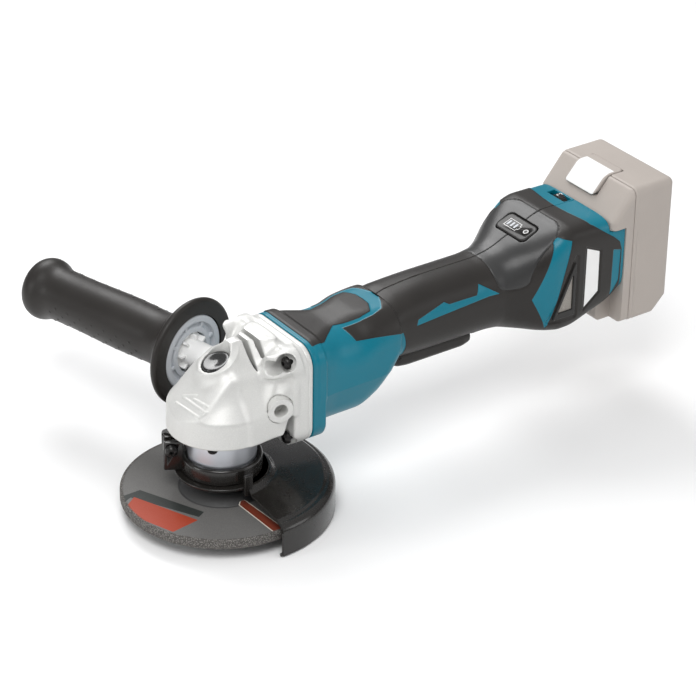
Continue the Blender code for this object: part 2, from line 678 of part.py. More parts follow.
def build_shaft_lock():
    """The spindle lock: a sloping button with its pin under it, which enters a hole in the gear."""
    bottom = lock_floor() + LOCK_TRAVEL + 0.4 * MM
    button = cylinder("lock_button", BUTTON_RADIUS, (BUTTON_X, 0, bottom), (BUTTON_X, 0, 104 * MM),
        "black_plastic", 20)
    slope = box("button_slope", (-20 * MM, -20 * MM, 0), (20 * MM, 20 * MM, 20 * MM))
    slope.location = (BUTTON_X, 0, 95.2 * MM)
    slope.rotation_euler = (0, math.radians(-26.0), 0)
    cut(button, slope)
    face = MOTOR_Z - (CONE_LENGTH - FACE_WIDTH) * math.sin(PINION_CONE)
    pin = cylinder("lock_pin", 2.0 * MM, (LOCK_PIN_X, 0, face + 0.5 * MM),
        (LOCK_PIN_X, 0, bottom + 2 * MM), None, 16)
    join(button, pin)
    spring = coil("lock_spring", (0.6 * MM, 0), 3.2 * MM, 0.45 * MM, lock_floor() + 0.2 * MM,
        bottom - 0.2 * MM, 3, "steel")
    return button, spring


def corner_place(k):
    return SCREW_OFFSET * (1 if k in (0, 3) else -1), MOTOR_Z + SCREW_OFFSET * (1 if k < 2 else -1)


def build_corner_screw(k):
    y, z = corner_place(k)
    head = FLANGE_FRONT - GAP
    screw = cylinder(f"housing_screw_{k + 1}", 4.1 * MM, (head - 3.2 * MM, y, z), (head, y, z),
        "screw_black", 14)
    return join(screw, cylinder(f"corner_shank_{k}", 2.0 * MM, (head - MM, y, z),
        (FLANGE_X + 9 * MM, y, z), None, 12))


# Motor housing

def build_motor_housing():
    z = MOTOR_Z
    high = z + 2.6 * MM
    rings = [
        rounded_square(FLANGE_X + GAP, FLANGE_HALF, FLANGE_HALF, FLANGE_CORNER, z, 5),
        rounded_square(FLANGE_X + 9 * MM, FLANGE_HALF, FLANGE_HALF, FLANGE_CORNER, z, 5),
        rounded_square(FLANGE_X + 13 * MM, 30.6 * MM, 31.5 * MM, 17 * MM, high - 0.5 * MM, 5),
        rounded_square(86 * MM, 30.4 * MM, 31.5 * MM, 18 * MM, high, 5),
        rounded_square(97 * MM, 30.0 * MM, 28.6 * MM, 18 * MM, high + 3.4 * MM, 5),
        rounded_square(108 * MM, 29.4 * MM, 22.4 * MM, 16 * MM, high + 11.0 * MM, 5),
        rounded_square(MOTOR_END, 27.6 * MM, 19.6 * MM, 15 * MM, high + 13.4 * MM, 5),
    ]
    housing = loft("motor_housing", rings, "teal")

    def at(x, y=0.0, lift=0.0):
        return (x, y, z + lift)

    cut(housing, cylinder("motor_bore", MOTOR_BORE, at(40 * MM), at(94 * MM), None, 28))
    cut(housing, cylinder("bearing_bore", 8.0 * MM + GAP, at(90 * MM), at(101 * MM), None, 20))
    cut(housing, loft("rear_mouth", [oval(x, 23.0 * MM, 103.0 * MM, 67.0 * MM) for x in (103.5 * MM,
        120 * MM)]))
    for side in (-1, 1):
        cut(housing, cylinder(f"lead_hole_{side}", 4.0 * MM, at(90 * MM, side * 14 * MM, 11 * MM),
                              at(106 * MM, side * 14 * MM, 11 * MM), None, 16))
    for k in range(4):
        y, corner_z = corner_place(k)
        cut(housing, cylinder(f"boss_hole_{k}", 2.3 * MM, (40 * MM, y, corner_z),
            (FLANGE_X + 9.4 * MM, y, corner_z), None, 14))
    return housing


def build_stator():
    """The stator: laminations with three pairs of slots, and the winding ring inside them."""
    turn = along((1, 0, 0)).to_quaternion()
    place = (0, 0, MOTOR_Z)
    stator = ring("stator_core", ROTOR_RADIUS + 4.5 * MM, STATOR_RADIUS, 61.0 * MM, 91.0 * MM,
        "laminations", 28, place, turn)
    winding = ring("stator_winding", ROTOR_RADIUS + 0.6 * MM, ROTOR_RADIUS + 4.2 * MM, 60.0 * MM,
        92.0 * MM, "copper", 24, place, turn)
    return stator, winding


def build_bearings():
    turn = along((1, 0, 0)).to_quaternion()
    place = (0, 0, MOTOR_Z)
    low = BEARING_BOTTOM
    ring("spindle_bearing", JOURNAL_RADIUS + GAP, BEARING_RADIUS, low, low + BEARING_WIDTH, "steel", 24)
    ring("bearing_retainer", 12.0 * MM, SEAT_RADIUS - GAP, SEAT_TOP + GAP, SEAT_TOP + 2.4 * MM,
        "steel", 24)
    ring("needle_bearing", TIP_RADIUS + GAP, TIP_RADIUS + 3.0 * MM, MOTOR_Z - 2.4 * MM,
        MOTOR_Z + 6.2 * MM, "steel", 20)
    ring("rotor_front_bearing", SHAFT_RADIUS + GAP, 11.0 * MM, 38.5 * MM, 45.5 * MM, "steel", 24, place,
        turn)
    ring("rotor_rear_bearing", 3.0 * MM + GAP, 8.0 * MM, 95.0 * MM, 100.6 * MM, "steel", 20, place, turn)
    ring("bearing_plate", 11.0 * MM + GAP, CHAMBER_RADIUS + 1.2 * MM, 38.2 * MM, FLANGE_X, "cast_silver",
        28, place, turn)


# Grip, base and what they hold

def grip_sections(inset, front, end):
    """The grip's sections from the front plane back to the end plane, shrunk by inset."""
    stations = [
        (front, 25.6 * MM, 105.6 * MM, 64.0 * MM, 2.6), (120 * MM, 24.4 * MM, 107.4 * MM, 61.0 * MM, 2.5),
        (150 * MM, GRIP_HALF, GRIP_TOP, GRIP_BOTTOM, 2.4),
        (184 * MM, GRIP_HALF, GRIP_TOP, GRIP_BOTTOM, 2.4),
        (200 * MM, 27.5 * MM, 112.2 * MM, 58.4 * MM, 2.6),
        (214 * MM, 32.5 * MM, 117.4 * MM, 56.0 * MM, 3.0),
        (228 * MM, BASE_HALF - 0.8 * MM, 122.6 * MM, 54.6 * MM, 3.6),
        (242 * MM, BASE_HALF, BASE_TOP - MM, 55.4 * MM, 4.4),
        (256 * MM, BASE_HALF, BASE_TOP, 60.0 * MM, 5.0), (270 * MM, BASE_HALF, BASE_TOP, 65.0 * MM, 5.0),
    ]
    stations = [station for station in stations if station[0] < end]
    stations.append((end, BASE_HALF, BASE_TOP, 72.5 * MM if end == BASE_END else 65.0 * MM, 5.0))
    return [oval(x, half - inset, top - inset, bottom + inset, power) for x, half, top, bottom,
        power in stations]


def build_grip_half(side, name):
    """One half of the two-part grip and base, parted on the middle plane."""
    shell = loft(name, grip_sections(0.0, MOTOR_END + GAP, BASE_END), "rubber", 40.0)
    cavity = loft(name + "_cavity", grip_sections(SHELL_WALL, MOTOR_END - 5 * MM, RAIL_FRONT - 4 * MM))
    far = 60 * MM
    other = box(name + "_other_half", (90 * MM, min(-side * far, side * GAP / 2), 30 * MM),
                (300 * MM, max(-side * far, side * GAP / 2), 150 * MM))
    cut(shell, cavity, other)
    mouth = box(name + "_paddle_mouth", (PADDLE_FRONT - MM, -PADDLE_HALF - 1.0 * MM, 40 * MM),
                (PADDLE_END + MM, PADDLE_HALF + 1.0 * MM, 75.4 * MM))
    rail = box(name + "_rail_channel", (RAIL_FRONT - GAP, -RAIL_HALF - GAP, 30 * MM),
        (BASE_END + 9 * MM, RAIL_HALF + GAP, 150 * MM))
    shelf = box(name + "_shelf", (RAIL_FRONT - 2 * GAP, -far, 117.4 * MM),
        (BASE_END + 12 * MM, far, 160 * MM))
    socket = box(name + "_terminal_window", (250 * MM, -20.3 * MM, 75.7 * MM),
        (272 * MM, 20.3 * MM, 101.3 * MM))
    cut(shell, shelf, rail, mouth, socket, gauge_pocket(name + "_gauge_pocket", GAP, 6.0 * MM))
    window_x, window_y = DIAL_PLACE
    if side > 0:
        cut(shell, box(name + "_dial_window", (window_x - 3.2 * MM, window_y - 8.6 * MM, 109 * MM),
                       (window_x + 3.2 * MM, window_y + 8.6 * MM, 140 * MM)))
    low, high = sorted((side * (BASE_HALF - 2.0 * MM), side * (BASE_HALF + 5 * MM)))
    cut(shell, plate(name + "_vent_recess", vent_outline(GAP), low, high))
    low, high = sorted((side * (BASE_HALF - 5.0 * MM), side * (BASE_HALF + 5 * MM)))
    cut(shell, plate(name + "_vent_hole", vent_outline(-3.2 * MM), low, high))
    for k, (x, z) in enumerate(grip_screw_places()):
        low, high = (-20 * MM, 60 * MM) if side > 0 else (-20 * MM, 1 * MM)
        boss = cylinder(f"{name}_boss_{k}", 4.4 * MM, (x, side * GAP / 2, z), (x, side * 20 * MM, z),
            None, 16)
        join(shell, boss)
        cut(shell, cylinder(f"{name}_boss_hole_{k}", 1.9 * MM, (x, low + 4 * MM, z), (x, high, z), None,
            12))
        if side > 0:
            cut(shell, cylinder(f"{name}_head_hole_{k}", 3.8 * MM, (x, 12 * MM, z), (x, high, z), None,
                16))
    return shell


def grip_screw_places():
    return [(196 * MM, 70 * MM), (132 * MM, 90 * MM)]


def build_grip_screw(k):
    x, z = grip_screw_places()[k]
    screw = cylinder(f"grip_screw_{k + 1}", 3.4 * MM, (x, 12.3 * MM, z), (x, 15.0 * MM, z),
        "screw_black", 12)
    return join(screw, cylinder(f"grip_shank_{k}", 1.6 * MM, (x, -12 * MM, z), (x, 13 * MM, z), None, 12))


def vent_outline(grow):
    """The three-sided intake on the base's flank, moved outwards by grow."""
    corners = [Vector((243.0 * MM, 108.0 * MM)), Vector((243.0 * MM, 66.0 * MM)),
        Vector((224.0 * MM, 66.0 * MM))]
    middle = sum(corners, Vector((0, 0))) / 3
    spread = 1 + grow / (6.4 * MM)
    return [tuple(middle + (corner - middle) * spread) for corner in corners]


def build_vent(side, word):
    low, high = sorted((side * (BASE_HALF - 1.6 * MM), side * (BASE_HALF + 0.4 * MM)))
    frame = plate(f"vent_frame_{word}", vent_outline(0.0), low, high, "black_plastic")
    cut(frame, plate(f"vent_frame_hole_{word}", vent_outline(-2.6 * MM), low - 3 * MM, high + 3 * MM))
    low, high = sorted((side * (BASE_HALF - 1.3 * MM), side * (BASE_HALF - 0.6 * MM)))
    screen = plate(f"dust_screen_{word}", vent_outline(-2.6 * MM - 2 * GAP), low, high, "mesh_grey")
    return frame, screen


def gauge_matrix():
    return Matrix.Translation(GAUGE_CENTRE) @ Matrix.Rotation(-GAUGE_TILT, 4, "Y")


def gauge_pocket(name, grow, depth):
    pocket = box(name, (-7.5 * MM - grow, -14.5 * MM - grow, -depth),
        (7.5 * MM + grow, 14.5 * MM + grow, 20 * MM))
    pocket.matrix_world = gauge_matrix()
    return pocket


def build_gauge():
    """The charge gauge: a panel on the sloping hood, with its check button at one end."""
    panel = box("gauge_panel", (-7.5 * MM, -14.5 * MM, -3.0 * MM), (7.5 * MM, 14.5 * MM, 0.9 * MM),
        "black_plastic", 0.8 * MM)
    panel.matrix_world = gauge_matrix()
    hole = cylinder("gauge_hole", 2.7 * MM, (0, -9.5 * MM, -9 * MM), (0, -9.5 * MM, 9 * MM), None, 20)
    hole.matrix_world = gauge_matrix()
    cut(panel, hole)
    button = cylinder("check_button", 2.4 * MM, (0, -9.5 * MM, -4.4 * MM), (0, -9.5 * MM, 1.6 * MM),
        "black_plastic", 20)
    button.matrix_world = gauge_matrix()
    return panel, button


def build_dial():
    """The speed thumb wheel: its rim shows through a window in the top of the base."""
    x, y = DIAL_PLACE
    z = BASE_TOP + 0.4 * MM - DIAL_RADIUS
    dial = cylinder("speed_dial", DIAL_RADIUS, (x - 2.7 * MM, y, z), (x + 2.7 * MM, y, z),
        "black_plastic", 30)
    return dial, (x, y, z)


def build_electronics():
    controller = box("controller", (206 * MM, -20 * MM, 76 * MM), (246 * MM, 20 * MM, 92 * MM),
        "black_plastic", 1.5 * MM)
    block = box("terminal_block", (251 * MM, -20 * MM, 76 * MM),
        (RAIL_FRONT - 0.8 * MM, 20 * MM, 101 * MM), "black_plastic")
    for side in (-1, 1):
        blade = box(f"blade_{side}", (RAIL_FRONT - 4 * MM, side * 10 * MM - 0.6 * MM, 80 * MM),
                    (RAIL_FRONT + 6 * MM, side * 10 * MM + 0.6 * MM, 98 * MM))
        join(block, blade)
    switch = box("switch_unit", (143 * MM, -11 * MM, 78 * MM), (171 * MM, 11 * MM, 93 * MM),
        "black_plastic", 1.0 * MM)
    cut(switch, cylinder("plunger_bore", 3.3 * MM, (155 * MM, 0, 70 * MM), (155 * MM, 0, 88 * MM), None,
        18))
    plunger = cylinder("switch_plunger", 3.0 * MM, (155 * MM, 0, PADDLE_BOTTOM + 3.0 * MM),
        (155 * MM, 0, 83 * MM), "white_plastic", 18)
    return controller, block, switch, plunger


def build_paddle():
    """The paddle switch lever: a channel under the grip, on a pin at its front end."""
    rings = []
    for x, half, bottom, top in (
        (PADDLE_FRONT, PADDLE_HALF - 2.5 * MM, PADDLE_BOTTOM + 2.4 * MM, 68.5 * MM),
        (PADDLE_FRONT + 8 * MM, PADDLE_HALF, PADDLE_BOTTOM, 68.5 * MM),
        (PADDLE_END - 10 * MM, PADDLE_HALF, PADDLE_BOTTOM, 66.5 * MM),
        (PADDLE_END, PADDLE_HALF - 2.0 * MM, PADDLE_BOTTOM + 1.0 * MM, 66.0 * MM),
    ):
        rings.append(rounded_square(x, half, (top - bottom) / 2, 4.0 * MM, (top + bottom) / 2, 5))
    paddle = loft("switch_paddle", rings, "rubber", 40.0)
    wall = 2.4 * MM
    cut(paddle, box("paddle_channel", (PADDLE_FRONT + 2.4 * MM, -PADDLE_HALF + wall,
        PADDLE_BOTTOM + wall),
                    (PADDLE_END - wall, PADDLE_HALF - wall, 90 * MM)))
    x, z = PADDLE_PIVOT
    cut(paddle, cylinder("paddle_bore", 1.5 * MM + GAP, (x, -30 * MM, z), (x, 30 * MM, z), None, 16))
    cut(paddle, box("lever_slot", (128 * MM, -4.8 * MM, 40 * MM), (149 * MM, 4.8 * MM, 61 * MM)))
    pin = cylinder("paddle_pin", 1.5 * MM, (x, -PADDLE_HALF + 0.2 * MM, z),
        (x, PADDLE_HALF - 0.2 * MM, z), "steel", 16)
    spring = coil("paddle_spring", (170 * MM, 0), 4.0 * MM, 0.6 * MM, PADDLE_BOTTOM + wall + 0.3 * MM,
        76.0 * MM, 4, "steel")
    return paddle, pin, spring


def build_lock_off():
    """The lock-off lever: it has to be tipped forward before the paddle can be squeezed."""
    x, z = LEVER_PIVOT
    outline = [(x + 2.4 * MM, z + 2.2 * MM), (x - 3.0 * MM, z + 2.2 * MM), (x - 5.0 * MM, z - 3.0 * MM),
               (x - 4.4 * MM, z - 8.4 * MM), (x - 2.2 * MM, z - 9.6 * MM), (x, z - 8.4 * MM),
               (x + 2.0 * MM, z - 3.0 * MM)]
    return plate("lock_off_lever", outline, -4.2 * MM, 4.2 * MM, "black_plastic")


# Battery

def pack_profile(inset):
    """The battery's side outline (x, z): a chamfered brow at the front and eased rear corners."""
    return [
        (RAIL_FRONT + inset, PACK_BOTTOM + inset), (RAIL_FRONT + inset, 126.0 * MM),
        (285.5 * MM + inset * 0.5, PACK_TOP - inset),
        (PACK_END - 5 * MM, PACK_TOP - inset), (PACK_END - inset, PACK_TOP - 5 * MM),
        (PACK_END - inset, PACK_BOTTOM + 8 * MM),
        (PACK_END - 8 * MM, PACK_BOTTOM + inset),
    ]


def pack_body(name, inset, look=None):
    """The whole battery block, rounded at its edges."""
    body = plate(name, pack_profile(inset), -PACK_HALF + inset, PACK_HALF - inset, look)
    rounding = body.modifiers.new("rounding", "BEVEL")
    rounding.width = 4.0 * MM if inset == 0 else 2.5 * MM
    rounding.segments = 2
    return body


def build_battery():
    """Front cover with the rails, rear case, release slide and cells."""
    far = 60 * MM
    shelf_low = 117.8 * MM
    cover = pack_body("battery_cover", 0.0, "pack_greige")
    cut(cover, box("cover_split", (SEAM_X, -far, 30 * MM), (400 * MM, far, 160 * MM)))
    for side in (-1, 1):
        low, high = sorted((side * RAIL_HALF, side * far))
        cut(cover, box(f"rail_side_{side}", (260 * MM, low, 30 * MM), (BASE_END + GAP, high, shelf_low)))
    cut(cover, pack_hollow("cover_hollow", 283.5 * MM, 300 * MM))
    for side in (-1, 1):
        cut(cover, box(f"blade_slot_{side}", (260 * MM, side * 10 * MM - 1.4 * MM, 30 * MM),
                       (RAIL_FRONT + 7.5 * MM, side * 10 * MM + 1.4 * MM, 104 * MM)))
    case = pack_body("battery_case", 0.0, "pack_greige")
    cut(case, box("case_split", (200 * MM, -far, 30 * MM), (SEAM_X + GAP, far, 160 * MM)))
    cut(case, pack_hollow("case_hollow", 270 * MM, PACK_END - PACK_WALL))
    pocket = plate("release_pocket", release_outline(GAP, RELEASE_DROP), *release_width(GAP))
    cut(cover, pocket)
    cut(case, pocket)
    button = plate("battery_release", release_outline(0.0, 0.0), *release_width(0.0), "white_plastic")
    return cover, case, button, build_cells()


def release_width(grow):
    return RELEASE_Y - 15 * MM - grow, RELEASE_Y + 15 * MM + grow


def release_outline(grow, drop):
    """The release slide (x, z): it covers part of the brow and of the top.

    Grown and dropped, it is the pocket that the slide sinks into, open through the brow's face.
    """
    low = 131.6 * MM
    slope = (PACK_TOP - 126.0 * MM) / (285.5 * MM - RAIL_FRONT)
    x_low = RAIL_FRONT + (low - 126.0 * MM) / slope
    lift = 6 * MM if grow else 0.6 * MM
    deep = 4.2 * MM
    sink = grow + drop
    floor = low - 0.2 * MM - sink
    points = [
        (x_low + deep, floor), (299.0 * MM + grow, PACK_TOP - deep - sink),
        (299.0 * MM + grow, PACK_TOP + lift),
        (284.9 * MM, PACK_TOP + lift), (x_low - lift, low + 0.5 * MM),
    ]
    return points + [(x_low - lift, floor)] if grow else points


def pack_hollow(name, front, back):
    inset = PACK_WALL
    outline = [
        (front, PACK_BOTTOM + inset), (front, 126.0 * MM), (294.0 * MM, 136.6 * MM),
        (back - 5 * MM, 136.6 * MM),
        (back, 132.0 * MM), (back, PACK_BOTTOM + 9 * MM), (back - 7 * MM, PACK_BOTTOM + inset),
    ]
    return plate(name, outline, -PACK_HALF + inset, PACK_HALF - inset)


def build_cells():
    """Two columns of round cells across the battery, as one welded block."""
    radius, pitch = 8.3 * MM, 16.4 * MM
    columns = (295.4 * MM, 309.4 * MM)
    first = PACK_BOTTOM + PACK_WALL + 1.2 * MM + radius
    outline = []
    for x, way in ((columns[1], 1), (columns[0], -1)):
        for k in range(CELL_COUNT):
            z = first + pitch * (k if way > 0 else CELL_COUNT - 1 - k)
            for step in range(5):
                turn = math.radians(-68 + 34 * step) + (math.pi if way < 0 else 0)
                outline.append((x + radius * math.cos(turn), z + radius * math.sin(turn)))
    return plate("cell_pack", outline, -33 * MM, 33 * MM, "cell_green")


# Auxiliary handle

def build_side_handle():
    """Grip, white spacer, ring insert and threaded core, all turned about the handle's axis."""
    turn = along(socket_way(1)).to_quaternion()
    place = socket_point(1, 0.0)
    front = 56.0 * MM
    edge = HANDLE_GUARD_RADIUS
    bore = STUD_RADIUS + GAP
    grip = turned("handle_grip", [
        (0.0, HANDLE_END), (15.0 * MM, HANDLE_END - 1.0 * MM), (19.5 * MM, HANDLE_END - 6 * MM),
        (20.4 * MM, HANDLE_END - 11 * MM),
        (18.4 * MM, HANDLE_END - 22 * MM), (16.8 * MM, HANDLE_END - 45 * MM),
        (17.6 * MM, HANDLE_END - 80 * MM),
        (17.0 * MM, front + 26 * MM), (19.0 * MM, front + 15 * MM), (26.0 * MM, front + 8.5 * MM),
        (edge - 1.6 * MM, front + 5.5 * MM),
        (edge, front + 3.4 * MM), (edge - 0.8 * MM, front + 0.6 * MM), (edge - 2.6 * MM, front),
        (24.8 * MM, front),
        (24.4 * MM, front + 5.6 * MM), (12.8 * MM, front + 5.6 * MM), (12.8 * MM, front + 12.0 * MM),
        (bore, front + 12.0 * MM),
        (bore, HANDLE_END - 40 * MM), (0.0, HANDLE_END - 40 * MM),
    ], "rubber", 30, place, turn, ring=False)
    insert = turned("handle_ring", [
        (24.0 * MM, front + 5.2 * MM), (24.4 * MM, front + 0.8 * MM), (20.0 * MM, front + 0.4 * MM),
        (19.2 * MM, front + 3.2 * MM),
        (12.8 * MM, front + 3.2 * MM), (12.8 * MM, front + 5.2 * MM),
    ], "grey_ring", 30, place, turn)
    spacer = turned("handle_spacer", [
        (12.4 * MM, front + 11.6 * MM), (12.4 * MM, front + 4.0 * MM), (8.6 * MM, front + 4.0 * MM),
        (8.0 * MM, SOCKET_FACE + 0.9 * MM),
        (7.4 * MM, SOCKET_FACE + 0.4 * MM), (bore, SOCKET_FACE + 0.4 * MM), (bore, front + 11.6 * MM),
    ], "white_plastic", 20, place, turn)
    core = turned("handle_core", [
        (0.0, HANDLE_END - 42 * MM), (STUD_RADIUS, HANDLE_END - 42 * MM), (STUD_RADIUS, 29.0 * MM),
        (STUD_RADIUS - 1.0 * MM, 28.0 * MM),
        (0.0, 28.0 * MM),
    ], "steel", 16, place, turn, ring=False)
    return grip, insert, spacer, core


def main():
    spindle = [build_spindle(), build_inner_flange(), build_wheel(), build_lock_nut(), build_bevel_gear()]
    joint_empty("spindle_axis", (0, 0, 0), *spindle)
    joint_empty("rotor_axis", (0, 0, MOTOR_Z), *build_rotor(), build_fan())
    joint_empty("guard_axis", (0, 0, NECK_BOTTOM), build_guard(), *build_guard_collar())
    build_bearing_box()
    build_gear_housing()
    for k in range(4):
        build_neck_screw(k)
        build_corner_screw(k)
    lock_button, _ = build_shaft_lock()
    joint_empty("lock_axis", (BUTTON_X, 0, lock_floor()), lock_button)
    build_bearings()
    build_motor_housing()
    build_stator()
    build_grip_half(-1, "grip_half_left")
    build_grip_half(1, "grip_half_right")
    for k in range(len(grip_screw_places())):
        build_grip_screw(k)
    build_vent(-1, "left")
    build_vent(1, "right")
    _, check_button = build_gauge()
    joint_empty("check_axis", GAUGE_CENTRE, check_button)
    dial, dial_centre = build_dial()
    joint_empty("dial_axis", dial_centre, dial)
    _, _, _, plunger = build_electronics()
    joint_empty("plunger_axis", (155 * MM, 0, 78 * MM), plunger)
    paddle, _, _ = build_paddle()
    lever = build_lock_off()
    pivot = joint_empty("paddle_axis", (PADDLE_PIVOT[0], 0, PADDLE_PIVOT[1]), paddle)
    hinge = joint_empty("lever_axis", (LEVER_PIVOT[0], 0, LEVER_PIVOT[1]), lever)
    hinge.parent = pivot
    hinge.matrix_parent_inverse = pivot.matrix_world.inverted()
    cover, case, release, cells = build_battery()
    pack = joint_empty("battery_axis", (RAIL_FRONT, 0, PACK_BOTTOM), cover, case, cells)
    slide = joint_empty("release_axis", (RAIL_FRONT, RELEASE_Y, PACK_TOP), release)
    slide.parent = pack
    slide.matrix_parent_inverse = pack.matrix_world.inverted()
    joint_empty("handle_axis", (HANDLE_X, 0, MOTOR_Z), *build_side_handle())


main()
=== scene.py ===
"""The looks of the battery angle grinder: smooth skins over the CAD frame, finishes, light and camera.

Shapes are written as distance fields in millimetres and turned into meshes, or as turned profiles.
X runs from the wheel back to the battery, Z runs up the spindle, the side handle leans out to +Y.
"""

import math

import bmesh
import bpy
import numpy as np
import openvdb
from mathutils import Matrix, Vector


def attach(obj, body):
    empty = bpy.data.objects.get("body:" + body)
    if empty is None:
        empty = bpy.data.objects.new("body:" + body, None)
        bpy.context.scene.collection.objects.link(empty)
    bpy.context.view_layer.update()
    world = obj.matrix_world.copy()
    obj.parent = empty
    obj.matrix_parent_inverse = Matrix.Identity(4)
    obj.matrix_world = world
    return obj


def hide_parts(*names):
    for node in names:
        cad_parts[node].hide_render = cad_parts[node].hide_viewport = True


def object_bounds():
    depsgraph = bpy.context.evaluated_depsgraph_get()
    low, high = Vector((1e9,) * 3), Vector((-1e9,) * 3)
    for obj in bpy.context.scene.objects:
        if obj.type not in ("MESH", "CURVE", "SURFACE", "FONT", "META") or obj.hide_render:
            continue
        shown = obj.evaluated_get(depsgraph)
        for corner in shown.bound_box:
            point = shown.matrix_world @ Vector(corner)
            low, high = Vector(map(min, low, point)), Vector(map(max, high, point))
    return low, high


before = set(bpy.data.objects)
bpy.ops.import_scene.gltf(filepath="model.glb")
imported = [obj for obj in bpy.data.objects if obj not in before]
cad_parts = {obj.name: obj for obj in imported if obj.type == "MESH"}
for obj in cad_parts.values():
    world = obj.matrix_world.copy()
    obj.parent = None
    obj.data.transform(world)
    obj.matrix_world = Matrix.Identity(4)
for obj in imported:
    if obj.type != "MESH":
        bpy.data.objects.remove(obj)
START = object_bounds()
MM = 0.001
MOTOR_Z = 68.4
LOCK_X = -3.5
POCKET_FLOOR = 84.0
GAUGE_PLACE, GAUGE_TILT = (222.6, 0.0, 119.2), math.radians(20)
DIAL_PLACE = Vector((264.5, 10.0, 119.0))
RELEASE_Y, RELEASE_TOP = 4.0, 143.2
CLAMP_TURN, CLAMP_OUT, CLAMP_HEIGHT = math.radians(150.0), 30.5, 35.0
HANDLE_SIDES = 8

# Fields: every function takes arrays of x, y and z in millimetres and gives a distance, negative inside


def step(a, b, t):
    t = np.clip((t - a) / (b - a), 0.0, 1.0)
    return t * t * (3.0 - 2.0 * t)


def smin(a, b, k):
    h = np.clip(0.5 + 0.5 * (b - a) / k, 0.0, 1.0)
    return b * (1.0 - h) + a * h - k * h * (1.0 - h)


def smax(a, b, k):
    return -smin(-a, -b, k)


def slab(u, v, half_u, half_v, r):
    """A rounded rectangle about the origin."""
    a = np.abs(u) - half_u + r
    b = np.abs(v) - half_v + r
    return np.hypot(np.maximum(a, 0), np.maximum(b, 0)) + np.minimum(np.maximum(a, b), 0) - r


def block(x, y, z, low, high, r):
    """A box between two corners with rounded edges."""
    parts = []
    for value, a, b in zip((x, y, z), low, high):
        parts.append(np.abs(value - (a + b) / 2) - (b - a) / 2 + r)
    a, b, c = parts
    outside = np.sqrt(np.maximum(a, 0) ** 2 + np.maximum(b, 0) ** 2 + np.maximum(c, 0) ** 2)
    return outside + np.minimum(np.maximum(np.maximum(a, b), c), 0) - r


def rod(x, y, z, start, end, r):
    """A capped cylinder from one point to another."""
    start, end = np.array(start, float), np.array(end, float)
    way = (end - start) / np.linalg.norm(end - start)
    dx, dy, dz = x - start[0], y - start[1], z - start[2]
    along = dx * way[0] + dy * way[1] + dz * way[2]
    across = np.sqrt(np.maximum(dx * dx + dy * dy + dz * dz - along * along, 0.0))
    return np.maximum(across - r, np.maximum(-along, along - np.linalg.norm(end - start)))


def outline(u, v, points, r=0.0):
    """The distance to a polygon in the plane of u and v, its corners rounded by r."""
    points = np.array(points, float)
    best = None
    inside = np.zeros(np.broadcast(u, v).shape, bool)
    for (x0, y0), (x1, y1) in zip(points, np.roll(points, -1, axis=0)):
        ex, ey = x1 - x0, y1 - y0
        wx, wy = u - x0, v - y0
        t = np.clip((wx * ex + wy * ey) / (ex * ex + ey * ey), 0, 1)
        gap = np.hypot(wx - ex * t, wy - ey * t)
        best = gap if best is None else np.minimum(best, gap)
        crosses = (v < y0) != (v < y1)
        with np.errstate(divide="ignore", invalid="ignore"):
            at = x0 + (v - y0) * ex / (ey if ey else 1e-9)
        inside ^= crosses & (u < at)
    return np.where(inside, -best, best) - r


def pick(x, *stations):
    """A smooth value along x through (x, value) stations."""
    xs = np.array([s[0] for s in stations], float)
    vs = np.array([s[1] for s in stations], float)
    slopes = np.gradient(vs, xs)
    rise = np.diff(vs) / np.diff(xs)
    for k in range(1, len(xs) - 1):
        slopes[k] = 0.0 if rise[k - 1] * rise[k] <= 0 else 2 / (1 / rise[k - 1] + 1 / rise[k])
    slopes[0], slopes[-1] = rise[0], rise[-1]
    x = np.clip(x, xs[0], xs[-1])
    k = np.clip(np.searchsorted(xs, x) - 1, 0, len(xs) - 2)
    width = xs[k + 1] - xs[k]
    t = (x - xs[k]) / width
    return ((1 + 2 * t) * (1 - t) ** 2 * vs[k] + t * (1 - t) ** 2 * width * slopes[k]
            + t * t * (3 - 2 * t) * vs[k + 1] + t * t * (t - 1) * width * slopes[k + 1])


def oval(y, z, half, top, bottom, power):
    """A soft-cornered oval section, as a rough distance."""
    middle, half_z = (top + bottom) / 2, (top - bottom) / 2
    ratio = (np.abs(y / half) ** power + np.abs((z - middle) / half_z) ** power) ** (1 / power)
    return (ratio - 1.0) * np.minimum(half, half_z)


def flange_outline(y, z):
    """The rounded square that the gear housing's flange and the motor housing's band share."""
    return slab(y, z - MOTOR_Z, 33.0, 33.0, 13.0)


# Gear housing

SOCKET_TILT, SOCKET_X = math.radians(15.0), 29.5
SCREW = 25.8
ARROW = [((4.7, 1.7), (-4.5, 6.8)), ((4.2, 1.2), (-16.4, 2.0)), ((-4.6, 4.1), (-16.5, 5.6)),
         ((6.4, -4.0), (-16.7, -2.6)), ((-16.7, -2.6), (-18.5, 2.5))]


def socket_point(side, distance):
    """A point on a side handle socket's axis, by its distance from the middle of the housing."""
    return (SOCKET_X - math.sin(SOCKET_TILT) * distance, side * math.cos(SOCKET_TILT) * distance, MOTOR_Z)


def stroke(u, v, start, end, r):
    """The distance to a line segment with round ends."""
    ex, ey = end[0] - start[0], end[1] - start[1]
    t = np.clip(((u - start[0]) * ex + (v - start[1]) * ey) / (ex * ex + ey * ey), 0.0, 1.0)
    return np.hypot(u - start[0] - ex * t, v - start[1] - ey * t) - r


